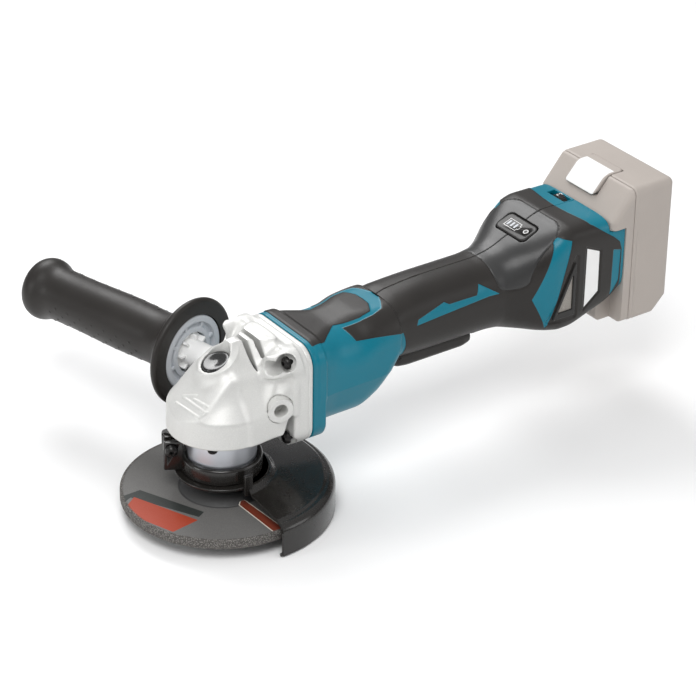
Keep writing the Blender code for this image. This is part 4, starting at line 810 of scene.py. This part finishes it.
def cut_with(obj, cutter):
    """Applies a Boolean at once and removes its cutter."""
    change = obj.modifiers.new("cut", "BOOLEAN")
    change.operation, change.object, change.solver = "DIFFERENCE", cutter, "EXACT"
    graph = bpy.context.evaluated_depsgraph_get()
    made = bpy.data.meshes.new_from_object(obj.evaluated_get(graph), depsgraph=graph)
    obj.modifiers.remove(change)
    obj.data = made
    bpy.data.objects.remove(cutter, do_unlink=True)


def eased_block(name, low, high, ease, look, matrix=None):
    """A block with bevelled edges, in millimetres."""
    low, high = Vector(low), Vector(high)
    shape = bmesh.new()
    bmesh.ops.create_cube(shape, size=1.0,
                          matrix=Matrix.Translation((low + high) / 2) @ Matrix.Diagonal((*(high - low), 1.0)))
    bmesh.ops.bevel(shape, geom=shape.edges[:] + shape.verts[:], offset=ease, segments=3, profile=0.6,
                    affect="EDGES", clamp_overlap=True)
    if matrix is not None:
        bmesh.ops.transform(shape, matrix=matrix, verts=shape.verts)
    bmesh.ops.scale(shape, vec=(MM, MM, MM), verts=shape.verts)
    bmesh.ops.recalc_face_normals(shape, faces=shape.faces)
    return kept(shape, name, look, 35.0)


def strip(name, line, width, lift, look, matrix):
    """A thin raised line of constant width through points in a plane, set on a matrix in millimetres."""
    curve = bpy.data.curves.new(name, "CURVE")
    curve.dimensions = "3D"
    curve.bevel_mode = "ROUND"
    curve.bevel_depth = width / 2
    curve.bevel_resolution = 2
    spline = curve.splines.new("POLY")
    spline.points.add(len(line) - 1)
    for point, (u, v) in zip(spline.points, line):
        point.co = (u, v, 0.0, 1.0)
    guide = linked(name, curve)
    graph = bpy.context.evaluated_depsgraph_get()
    mesh = bpy.data.meshes.new_from_object(guide.evaluated_get(graph), depsgraph=graph)
    bpy.data.objects.remove(guide, do_unlink=True)
    flat = Matrix.Diagonal((1.0, 1.0, lift / (width / 2), 1.0))
    mesh.transform(Matrix.Diagonal((MM, MM, MM, 1.0)) @ matrix @ flat)
    mesh.shade_smooth()
    mesh.materials.append(look)
    return linked(name, mesh)


def build_head():
    housing = sculpt("gear_housing_skin", gear_whole, (-34.5, -37.5, 35.2), (44.7, 37.5, 102.5), 0.55, CAST)
    stands_for(housing, "tool_body", "cast_housing", "gear_housing")
    profile = [(17.0, 52.2, 0.2), (22.9, 52.2, 0.4), (22.9, 49.0, 0.1), (26.0, 49.0, 0.5), (26.0, 46.0, 0.6),
               (21.9, 46.0, 0.4), (21.5, 44.6, 0.2), (21.5, 20.2, 0.7), (19.6, 19.5, 0.3), (9.5, 19.5, 0.3),
               (9.5, 30.4, 0.2), (16.4, 30.4, 0.1), (16.4, 43.8, 0.1), (19.0, 43.8, 0.1), (19.0, 52.2, 0.0)]
    neck = lathe("neck_skin", profile, NECK, closed=True, steps=128)
    stands_for(neck, "tool_body", "cast_neck", "bearing_box")
    for k in range(4):
        turn = math.pi / 4 + math.pi / 2 * k
        x, y = 24.8 * math.cos(turn), 24.8 * math.sin(turn)
        screw = screw_piece(f"neck_screw_skin_{k + 1}", (x, y, 45.7), (0, 0, -1), 3.1, 2.3, 1.6, 8.0)
        stands_for(screw, "tool_body", "black_screws", f"neck_screw_{k + 1}")
        y2, z2 = SCREW * (1 if k in (0, 3) else -1), MOTOR_Z + SCREW * (1 if k < 2 else -1)
        screw = screw_piece(f"housing_screw_skin_{k + 1}", (30.7, y2, z2), (-1, 0, 0), 4.1, 3.2, 2.0, 20.0)
        stands_for(screw, "tool_body", "black_screws", f"housing_screw_{k + 1}")
    build_lock_button()


def lock_field(x, y, z):
    body = np.hypot(x - LOCK_X, y) - 8.3
    tilt = math.radians(20.0)
    lid = (z - 94.3) * math.cos(tilt) - (x - LOCK_X) * math.sin(tilt)
    dish = 0.5 * step(7.0, 1.0, np.hypot(x - LOCK_X, y))
    return smax(smax(body, lid + dish, 0.8), 82.7 - z, 0.3)


def build_lock_button():
    button = sculpt("lock_button_skin", lock_field, (-12, -8.5, 82.5), (5, 8.5, 100), 0.3, GLOSS)
    pin = lathe("lock_pin_skin", [(0.0, 84.0, 0), (2.0, 84.0, 0.1), (2.0, 66.6, 0.4), (0.0, 66.6, 0)], STEEL,
                (-10.0, 0, 0), steps=24)
    stands_for(button, "shaft_lock", "gloss_black", "lock_button")
    stands_for(pin, "shaft_lock", "steel")


def build_motor():
    skin = sculpt("motor_housing_skin", motor_whole, (44.9, -33.6, 34.9), (113, 33.6, 105.2), 0.5, MOTOR,
                  {"dark": motor_dark})
    stands_for(skin, "tool_body", "teal_plastic", "motor_housing")


def label_field(x, y, z):
    return outline(x, z, LABEL, -0.7) + 20.0 * (np.abs(y) < 24.0)


def build_grip():
    marks = {"teal": base_regions, "label": label_field, "hood": hood_field}
    left = sculpt("grip_skin_left", grip_left, (113, -37.2, 54), (282, 0, 128), 0.6, BASE, marks)
    right = sculpt("grip_skin_right", grip_right, (113, 0, 54), (282, 37.2, 128), 0.6, BASE, marks)
    stands_for(left, "tool_body", "grip_plastic", "grip_half_left")
    stands_for(right, "tool_body", "grip_plastic", "grip_half_right")


def paddle_field(x, y, z):
    bottom = pick(x, (116.6, 58.6), (121, 57.0), (130, 56.4), (168, 56.4), (177, 57.2))
    half = pick(x, (116.6, 14.6), (122, 16.6), (130, 17.0), (168, 17.0), (177, 15.4))
    top = pick(x, (116.6, 68.4), (160, 67.4), (177, 66.0))
    body = slab(y, z - (top + bottom) / 2, half, (top - bottom) / 2, 4.2)
    body = smax(body, np.maximum(116.7 - x, x - 176.9), 1.6)
    inside = block(x, y, z, (119.0, -14.6, 58.9), (174.6, 14.6, 90.0), 1.2)
    slot = block(x, y, z, (128.0, -4.8, 40.0), (149.0, 4.8, 61.0), 0.8)
    ribs = 0.35 * (0.5 + 0.5 * np.cos((x - 150.0) * 2 * math.pi / 3.2))
    ribs = ribs * step(11.0, 8.0, np.abs(y)) * step(58.0, 57.0, z) * step(151, 154, x)
    return smax(body, -np.minimum(inside, slot), 0.5) + ribs * step(174, 171, x)


def lever_field(x, y, z):
    shape = outline(x, z, [(143.0, 62.4), (138.4, 62.4), (136.6, 58.0), (137.0, 53.0), (139.0, 51.6),
                           (140.6, 52.8), (142.4, 58.0)], 0.4)
    return smax(shape, np.abs(y) - 4.1, 0.8)


def build_controls():
    paddle = sculpt("paddle_skin", paddle_field, (116.6, -17, 56.2), (177, 17, 68.6), 0.45, SKIN)
    stands_for(paddle, "paddle", "grip_plastic", "switch_paddle")
    lever = sculpt("lock_off_skin", lever_field, (136, -4.2, 51), (143.6, 4.2, 63), 0.3, BLACK)
    stands_for(lever, "lock_off", "black_plastic", "lock_off_lever")
    tilt = Matrix.Translation(GAUGE_PLACE) @ Matrix.Rotation(-GAUGE_TILT, 4, "Y")
    build_gauge(tilt)
    build_dial()
    for side, word in ((-1, "left"), (1, "right")):
        build_vent(side, word)


def gauge_outline(half_x, half_y, r, z):
    points = []
    for k, (sx, sy) in enumerate(((1, 1), (-1, 1), (-1, -1), (1, -1))):
        for s in range(8):
            turn = math.pi / 2 * (k + s / 7)
            points.append((sx * (half_x - r) + r * math.cos(turn), sy * (half_y - r) + r * math.sin(turn), z))
    return points


def build_gauge(tilt):
    shape = bmesh.new()
    rows = []
    for inset, z in ((0.2, -3.0), (0.0, 0.1), (0.15, 0.55), (0.6, 0.85), (1.4, 0.9)):
        ring = gauge_outline(7.4 - inset, 14.4 - inset, 3.8 - inset, z)
        rows.append([shape.verts.new(tilt @ Vector(p) * MM) for p in ring])
    loft(shape, rows)
    panel = kept(shape, "gauge_panel_skin", BLACK, 40.0)
    axis = tuple(tilt.to_3x3() @ Vector((0, 0, 1)))
    centre = tuple(tilt @ Vector((0, -9.5, 0)))
    hole = lathe("gauge_hole", [(0.0, 6.0, 0), (2.7, 6.0, 0), (2.7, -6.0, 0), (0.0, -6.0, 0)], BLACK, centre,
                 axis, steps=40)
    cut_with(panel, hole)
    stands_for(panel, "tool_body", "gloss_black", "gauge_panel")
    face = tilt @ Matrix.Translation((0, 0, 0.92))
    frame_line = [(-3.2, 9.4), (3.2, 9.4), (3.2, -1.9), (1.5, -1.9), (1.5, -3.0), (-1.5, -3.0), (-1.5, -1.9),
                  (-3.2, -1.9), (-3.2, 9.4)]
    bits = [strip("gauge_outline", frame_line, 0.55, 0.12, WHITE, face)]
    for k in range(3):
        v = 7.4 - 3.3 * k
        bits.append(strip(f"gauge_bar_{k}", [(-2.0, v), (2.0, v)], 1.7, 0.06, RING, face))
    icon = joined("gauge_icon", bits)
    stands_for(icon, "tool_body", "white_plastic")
    button = lathe("check_button_skin", [(0.0, 1.25, 0), (1.9, 1.45, 0.2), (2.4, 1.3, 0.3), (2.4, -4.4, 0.2),
                                         (0.0, -4.4, 0)], BLACK, centre, axis, steps=40)
    stands_for(button, "check", "black_plastic", "check_button")
    mark = lathe("check_ring", [(1.35, 1.50, 0.05), (1.75, 1.50, 0.05), (1.75, 1.3, 0.0), (1.35, 1.3, 0.0)],
                 WHITE, centre, axis, steps=40, closed=True)
    stands_for(mark, "check", "white_plastic")


def build_dial():
    """A thumb wheel with a knurled rim and a plain digit."""
    shape = bmesh.new()
    rows = []
    count = 144
    for dx, cut in ((-2.7, 1.0), (-2.3, 0.3), (2.3, 0.3), (2.7, 1.0)):
        ring = []
        for k in range(count):
            turn = 2 * math.pi * k / count
            r = 8.0 - cut - (0.28 if k % 4 < 2 else 0.0)
            ring.append(shape.verts.new((DIAL_PLACE + Vector((dx, r * math.sin(turn),
                                                              r * math.cos(turn)))) * MM))
        rows.append(ring)
    loft(shape, rows)
    dial = kept(shape, "speed_dial_skin", BLACK, 30.0)
    stands_for(dial, "dial", "black_plastic", "speed_dial")
    seat = Matrix.Translation(DIAL_PLACE + Vector((0, 0, 8.02))) @ Matrix.Rotation(math.radians(90), 4, "Z")
    digit = strip("dial_digit", [(-1.2, 1.7), (0.3, 1.8), (1.0, 1.1), (0.2, 0.1), (1.1, -0.9), (0.3, -1.8),
                                 (-1.2, -1.6)], 0.5, 0.12, WHITE, seat)
    stands_for(digit, "dial", "white_plastic")


def vent_shape(grow):
    corners = np.array(VENT)
    middle = corners.mean(0)
    return [tuple(middle + (c - middle) * (1 + grow / 6.4)) for c in corners]


def build_vent(side, word):
    def frame_rule(x, y, z):
        face = np.maximum(side * y - 37.0, 35.1 - side * y)
        ring = np.maximum(outline(x, z, vent_shape(-1.0), 0.6), -outline(x, z, vent_shape(-2.8), 0.3))
        return smax(ring, face, 0.5)

    def screen_rule(x, y, z):
        return np.maximum(outline(x, z, vent_shape(-2.6), 0.0), np.abs(side * y - 35.6) - 0.35)

    low, high = sorted((side * 34.9, side * 37.1))
    rim = sculpt(f"vent_frame_skin_{word}", frame_rule, (223, low, 65), (244, high, 109), 0.3, BLACK)
    stands_for(rim, "tool_body", "black_plastic", f"vent_frame_{word}")
    cloth = sculpt(f"dust_screen_skin_{word}", screen_rule, (223, low, 65), (244, high, 109), 0.3, SCREEN)
    stands_for(cloth, "tool_body", "screen_steel", f"dust_screen_{word}")


def catch_face(x, y, z):
    """The white face of the release button: its slope and the edge above it."""
    return smax(x - 292.5, slab(y - RELEASE_Y, x - 284.0, 13.6, 14.0, 2.0), 1.0)


def build_battery():
    cover = sculpt("battery_cover_skin", cover_whole, (269.9, -37.6, 47.9), (288, 37.6, 143.3), 0.55, PACK)
    case = sculpt("battery_case_skin", case_whole, (288.2, -37.6, 47.9), (320.3, 37.6, 143.3), 0.55, PACK)
    release = sculpt("battery_release_skin", release_field, (274, -11.2, 131.2), (299.2, 19.2, 143.7), 0.4,
                     CATCH, {"white": catch_face})
    stands_for(cover, "battery", "pack_plastic", "battery_cover")
    stands_for(case, "battery", "pack_plastic", "battery_case")
    stands_for(release, "release", "white_plastic", "battery_release")


WHEEL_MARKS = {
    "patch_dark": [(-62.0, 22.5), (-44.9, 22.6), (-25.8, -20.0), (-31.3, -23.0), (-54.0, 18.5),
                   (-62.0, 15.0)],
    "patch_red": [(-52.0, 17.8), (-33.6, -25.5), (-52.9, -28.2), (-62.0, -4.0), (-66.0, 8.0)],
    "band_pale": [(-4.4, -24.0), (2.2, -24.0), (4.6, -61.5), (-3.6, -61.5)],
    "band_red": [(-3.7, -24.0), (1.5, -24.0), (3.8, -61.5), (-2.8, -61.5)],
}


def build_spindle_group():
    profile = [(11.1, 11.0, 0.2), (19.5, 11.0, 1.6), (25.8, 6.0, 1.8), (62.0, 6.0, 0.5), (62.5, 5.4, 0.5),
               (62.5, 0.0, 0.4), (24.0, 0.0, 1.5), (18.0, 5.0, 1.5), (11.1, 5.0, 0.2)]
    line = []
    for a, b in zip(profile, profile[1:] + profile[:1]):
        line.append(a)
        if abs(a[0] - b[0]) > 20:
            line += [(a[0] + (b[0] - a[0]) * t, a[1] + (b[1] - a[1]) * t,
                      0.0) for t in np.linspace(0, 1, 90)[1:-1]]
    wheel = lathe("grinding_wheel_skin", line, WHEEL, steps=420, closed=True)
    count = len(wheel.data.vertices)
    points = np.zeros(count * 3)
    wheel.data.vertices.foreach_get("co", points)
    x, y, z = points.reshape(-1, 3).T / MM
    for mark, shape in WHEEL_MARKS.items():
        attribute = wheel.data.attributes.new(mark, "FLOAT", "POINT")
        on_face = outline(x, y, shape) + 40.0 * (z < 5.0)
        attribute.data.foreach_set("value", np.ascontiguousarray(on_face, np.float32))
    stands_for(wheel, "spindle_group", "abrasive", "grinding_wheel")
    flange = lathe("inner_flange_skin", [(7.2, 17.3, 0.2), (13.8, 17.3, 0.5), (17.0, 14.8, 0.7),
                                         (17.0, 11.3, 0.3), (10.8, 11.3, 0.2), (10.8, 8.2, 0.3),
                                         (7.2, 8.2, 0.2)], STEEL, closed=True)
    stands_for(flange, "spindle_group", "steel", "inner_flange")
    nut = lathe("lock_nut_skin", [(7.2, 7.6, 0.2), (10.8, 7.6, 0.3), (10.8, 4.7, 0.2), (17.0, 4.7, 0.3),
                                  (17.0, 2.3, 0.8), (14.0, -0.6, 0.6), (7.2, -0.6, 0.3)], STEEL, closed=True)
    for side in (-1, 1):
        hole = lathe("nut_hole", [(0, 3, 0), (2.2, 3, 0), (2.2, -3, 0), (0, -3, 0)], STEEL,
                     (0, side * 11.5, 0), steps=32)
        cut_with(nut, hole)
    stands_for(nut, "spindle_group", "steel", "lock_nut")
    thread = [(0.0, 74.5, 0), (4.0, 74.5, 0.4), (4.0, 64.8, 0.1), (6.0, 64.8, 0.3), (6.0, 30.7, 0.1),
              (9.0, 30.7, 0.3), (9.0, 17.7, 0.2), (6.9, 17.7, 0.1)]
    t = 16.5
    while t > 1.6:
        thread += [(6.9, t, 0.1), (6.2, t - 0.75, 0.1)]
        t -= 1.5
    thread += [(5.9, 0.1, 0.2), (0.0, 0.0, 0)]
    stands_for(lathe("spindle_skin", thread, STEEL, steps=64), "spindle_group", "steel", "spindle")


def build_guard():
    edge = 69.4
    profile = [(21.9, 20.0, 0.3), (29.5, 20.0, 1.2), (33.0, 16.2, 1.6), (60.0, 14.0, 2.0), (62.2, 14.0, 0.8),
               (64.0, 12.9, 0.8), (edge - 3.4, 12.6, 1.2), (edge, 9.6, 3.2), (edge, -8.1, 0.5),
               (edge - 1.7, -8.1, 0.5), (edge - 1.7, 8.6, 2.6), (edge - 4.6, 10.8, 1.2), (60.0, 12.3, 1.0),
               (33.6, 14.5, 1.0), (28.6, 18.3, 1.0), (21.9, 18.3, 0.3)]
    guard = lathe("wheel_guard_skin", profile, GUARD, steps=160, closed=True, sweep=(-90.9, 90.5))
    edges = []
    for angle, way in ((-90.4, 1), (90.0, -1)):
        turn = math.radians(angle)
        out, side = Vector((math.cos(turn), math.sin(turn), 0)), Vector((-math.sin(turn), math.cos(turn), 0))
        fold = lathe(f"guard_hem_{way}", [(0.0, 0.0, 0), (1.15, 0.0, 0.2), (1.15, 16.0, 0.2),
                                          (0.0, 16.0, 0)], GUARD,
                     tuple(out * (edge - 1.15) + Vector((0, 0, -8.1))), (0, 0, 1), steps=24)
        foot = lathe(f"guard_foot_{way}", [(0.0, 0.0, 0), (1.1, 0.0, 0.3), (1.1, 2.2, 0.3), (0.0, 2.2, 0)],
                     GUARD, tuple(out * (edge - 1.2) + Vector((0, 0, -7.0))), tuple(-side * way), steps=24)
        edges += [fold, foot]
    ring = lathe("guard_web_skin", [(21.9, 20.0, 0.2), (29.0, 20.0, 0.6), (29.0, 18.3, 0.5),
                                    (21.9, 18.3, 0.2)], GUARD, closed=True)
    tab = eased_block("guard_tab_skin", (-3.4, -31.0, 14.4), (2.6, -28.6, 28.4), 1.0, GUARD)
    brace = eased_block("guard_brace_skin", (-0.4, -29.6, 18.3), (2.6, -23.0, 20.0), 0.5, GUARD)
    guard = joined("wheel_guard_skin", [guard, ring, tab, brace, *edges])
    stands_for(guard, "guard_group", "guard_steel", "wheel_guard")
    collar = lathe("guard_collar_skin", [(21.85, 30.5, 0.4), (24.0, 30.5, 0.5), (25.0, 29.4, 0.8),
                                         (25.0, 20.4, 0.6), (21.85, 20.4, 0.3)], GUARD,
                   closed=True, steps=128, sweep=(151.5, 508.5))
    ears = []
    place = Matrix.Rotation(CLAMP_TURN, 4, "Z")
    for name, low, high in (("near", -5.2, -1.4), ("far", 1.4, 5.2)):
        ears.append(eased_block(f"collar_ear_{name}_skin", (23.2, low, 20.5), (35.4, high, 40.9), 1.4, GUARD,
                                place))
    out = tuple((place.to_3x3() @ Vector((0, 1, 0))).normalized())
    for ear in ears:
        start = place @ Vector((CLAMP_OUT, -8, CLAMP_HEIGHT))
        hole = lathe("ear_hole", [(0, 16, 0), (2.3, 16, 0), (2.3, 0, 0), (0, 0, 0)], GUARD, tuple(start),
                     out, steps=32)
        cut_with(ear, hole)
    collar = joined("guard_collar_skin", [collar, *ears])
    stands_for(collar, "guard_group", "guard_steel", "guard_collar")
    seat = place @ Vector((CLAMP_OUT, 5.6, CLAMP_HEIGHT))
    screw = screw_piece("guard_screw_skin", tuple(seat), out, 4.0, 3.4, 2.0, 13.0)
    stands_for(screw, "guard_group", "black_screws", "guard_screw")


# The side of the grip that has no dots
PLAIN_SIDE = Vector((-0.62, -0.30, 0.72)).normalized()


def handle_dots(place, way):
    """Rows of small raised dots round the grip."""
    turn = aim(way)
    shape = bmesh.new()
    for row, t in enumerate(np.arange(90.0, 170.0, 5.4)):
        r = float(pick(np.array(t), (82, 17.0), (113, 17.6), (150, 16.8), (172, 17.0))) - 0.1
        for k in range(12):
            angle = 2 * math.pi * (k + 0.5 * (row % 2)) / 12
            out = Vector((math.cos(angle), math.sin(angle), 0))
            if (turn @ out).dot(PLAIN_SIDE) > 0.72:
                continue
            rise = Matrix.Translation(out * r + Vector((0, 0, t)))
            seat = rise @ aim(out).to_4x4() @ Matrix.Diagonal((1.0, 1.0, 0.5, 1.0))
            bmesh.ops.create_icosphere(shape, subdivisions=2, radius=0.95, matrix=seat)
    bmesh.ops.transform(shape, matrix=Matrix.Diagonal((MM, MM, MM,
                                                       1.0)) @ Matrix.Translation(place) @ turn.to_4x4(),
                                                       verts=shape.verts)
    return kept(shape, "handle_dots", SKIN)


def spokes(name, low, high, look, seat, start=0.0):
    """Small blocks spread evenly round the handle's line."""
    made = []
    for k in range(HANDLE_SIDES):
        turn = Matrix.Rotation(2 * math.pi * (k + start) / HANDLE_SIDES, 4, "Z")
        made.append(eased_block(f"{name}_{k}", low, high, 0.3, look, seat @ turn))
    return made


def build_handle():
    place = (SOCKET_X, 0.0, MOTOR_Z)
    way = (-math.sin(SOCKET_TILT), math.cos(SOCKET_TILT), 0.0)
    seat = Matrix.Translation(place) @ aim(way).to_4x4()
    grip = lathe("handle_grip_skin", [
        (0.0, 193.0, 0), (14.0, 192.4, 1.0), (18.6, 189.0, 3.0), (20.4, 184.5, 3.0), (20.2, 180.0, 3.0),
        (17.0, 172.5, 5.0), (16.8, 150.0, 10.0), (17.8, 113.0, 10.0), (17.0, 84.0, 4.0), (18.4, 74.0, 3.0),
        (24.0, 65.5, 4.0), (33.6, 61.6, 1.6), (35.2, 59.6, 1.2), (35.2, 57.6, 0.8), (33.6, 56.1, 0.8),
        (24.9, 56.1, 0.3), (24.5, 61.5, 0.3), (12.9, 61.5, 0.2), (12.9, 68.0, 0.2), (4.3, 68.0, 0.1),
        (4.3, 153.0, 0.1), (0.0, 153.0, 0),
    ], SKIN, place, way, steps=128)
    grip = joined("handle_grip_skin", [grip, handle_dots(place, way)])
    stands_for(grip, "side_handle", "grip_rubber", "handle_grip")
    ring = lathe("handle_ring_skin", [(24.0, 61.2, 0.3), (24.4, 57.0, 0.5), (23.4, 56.5, 0.4),
                                      (20.0, 56.5, 0.5), (19.2, 59.0, 0.6), (16.8, 59.0, 0.5),
                                      (16.4, 57.6, 0.4), (13.0, 57.6, 0.4), (12.9, 61.2, 0.2)], RING, place,
                                      way, steps=128, closed=True)
    ring = joined("handle_ring_skin", [ring, *spokes("ring_rib", (16.0, -1.1, 57.4), (19.8, 1.1, 59.8), RING,
                                                     seat)])
    stands_for(ring, "side_handle", "grey_ring", "handle_ring")
    spacer = lathe("handle_spacer_skin", [
        (4.3, 67.6, 0.2), (12.4, 67.6, 0.4), (12.4, 60.0, 0.6), (9.0, 60.0, 1.0), (8.6, 58.0, 1.0),
        (8.1, 38.0, 0.5), (7.4, 36.4, 0.4), (4.3, 36.4, 0.2),
    ], WHITE, place, way, steps=96, closed=True)
    fins = spokes("spacer_fin", (8.0, -0.8, 55.0), (12.0, 0.8, 61.0), WHITE, seat, 0.5)
    spacer = joined("handle_spacer_skin", [spacer, *fins])
    stands_for(spacer, "side_handle", "white_plastic", "handle_spacer")
    core = [(0.0, 151.0, 0), (4.0, 151.0, 0.3), (4.0, 35.8, 0.2)]
    t = 35.2
    while t > 29.4:
        core += [(4.0, t, 0.1), (3.45, t - 0.62, 0.1)]
        t -= 1.25
    core += [(3.0, 28.1, 0.2), (0.0, 28.0, 0)]
    stands_for(lathe("handle_core_skin", core, STEEL, place, way, steps=64), "handle_stud", "steel",
               "handle_core")


INNER = (
    (STEEL, ("spindle_bearing", "bearing_retainer", "needle_bearing", "rotor_front_bearing",
             "rotor_rear_bearing", "rotor_shaft", "bevel_gear", "bevel_pinion", "paddle_spring",
             "lock_spring")),
    (NECK, ("bearing_plate",)),
    (SHEET, ("stator_core", "rotor_core")),
    (COPPER, ("stator_winding",)),
    (CELLS, ("cell_pack",)),
    (BLACK, ("cooling_fan", "terminal_block", "switch_unit")),
    (BOARD, ("controller",)),
    (WHITE, ("switch_plunger",)),
    (BOLT, ("grip_screw_1", "grip_screw_2", "paddle_pin")),
)


def dress_inner_pieces():
    for look, names in INNER:
        for name in names:
            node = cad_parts[name]
            node.data.materials.clear()
            node.data.materials.append(look)
            easing = node.modifiers.new("easing", "BEVEL")
            easing.width, easing.segments = 0.00025, 2
            easing.limit_method, easing.angle_limit = "ANGLE", math.radians(40)


# Setting

SKY = 0.62


def build_setting():
    floor_z = START[0].z - 0.0006
    shape = bmesh.new()
    bmesh.ops.create_grid(shape, x_segments=1, y_segments=1, size=6.0)

    def paper(tree, place):
        broad = noise(tree, place, 3.0, 3.0)
        base = tint(tree, broad, (0.90, 0.90, 0.90, 1), (0.93, 0.93, 0.925, 1))
        return base, 0.75, 0.0, noise(tree, place, 900.0), dict(strength=0.05)

    floor = kept(shape, "floor", material("floor_finish", paper), smooth=False)
    floor.location = (0.1, 0.0, floor_z)
    world = bpy.data.worlds.new("studio")
    world.use_nodes = True
    tree = world.node_tree
    tree.nodes.clear()
    place = wire(tree, "ShaderNodeTexCoord").outputs["Generated"]
    height = wire(tree, "ShaderNodeSeparateXYZ", Vector=place).outputs["Z"]
    level = ranged(tree, height, 0.05, 0.75, 0.0, 1.0)
    sky = tint(tree, level, (0.20, 0.20, 0.21, 1.0), (0.95, 0.95, 0.96, 1.0))
    backdrop = wire(tree, "ShaderNodeBackground", Color=sky, Strength=SKY)
    wire(tree, "ShaderNodeOutputWorld", Surface=backdrop.outputs[0])
    bpy.context.scene.world = world
    target = Vector((0.12, 0.0, 0.07))
    for name, place, size, power in (("key", (-0.45, -0.55, 1.25), 0.8, 11.0),
                                     ("fill", (1.0, -1.0, 0.55), 0.7, 2.5),
                                     ("rim", (0.35, 0.85, 1.0), 0.7, 9.0),
                                     ("front", (-1.1, 0.25, 0.45), 0.4, 2.5)):
        lamp = bpy.data.lights.new(name, "AREA")
        lamp.shape, lamp.size, lamp.energy = "DISK", size, power
        obj = linked(name, lamp)
        obj.location = place
        obj.rotation_mode = "QUATERNION"
        obj.rotation_quaternion = (target - Vector(place)).to_track_quat("-Z", "Y")
    right = Vector((0.818994, -0.573677, 0.011993))
    up = Vector((0.273362, 0.408463, 0.870880))
    ahead = Vector((0.504502, 0.709967, -0.491350))
    camera = bpy.data.cameras.new("camera")
    camera.lens, camera.sensor_width = 144.67, 36.0
    camera.clip_start, camera.clip_end = 0.05, 50.0
    obj = linked("camera", camera)
    basis = Matrix((right, up, -ahead)).transposed().to_4x4()
    obj.matrix_world = Matrix.Translation((-0.77688, -1.22414, 0.91981)) @ basis
    bpy.context.scene.camera = obj
    bpy.context.scene.view_settings.view_transform = "Standard"


build_head()
build_motor()
build_grip()
build_controls()
build_battery()
build_spindle_group()
build_guard()
build_handle()
dress_inner_pieces()
build_setting()
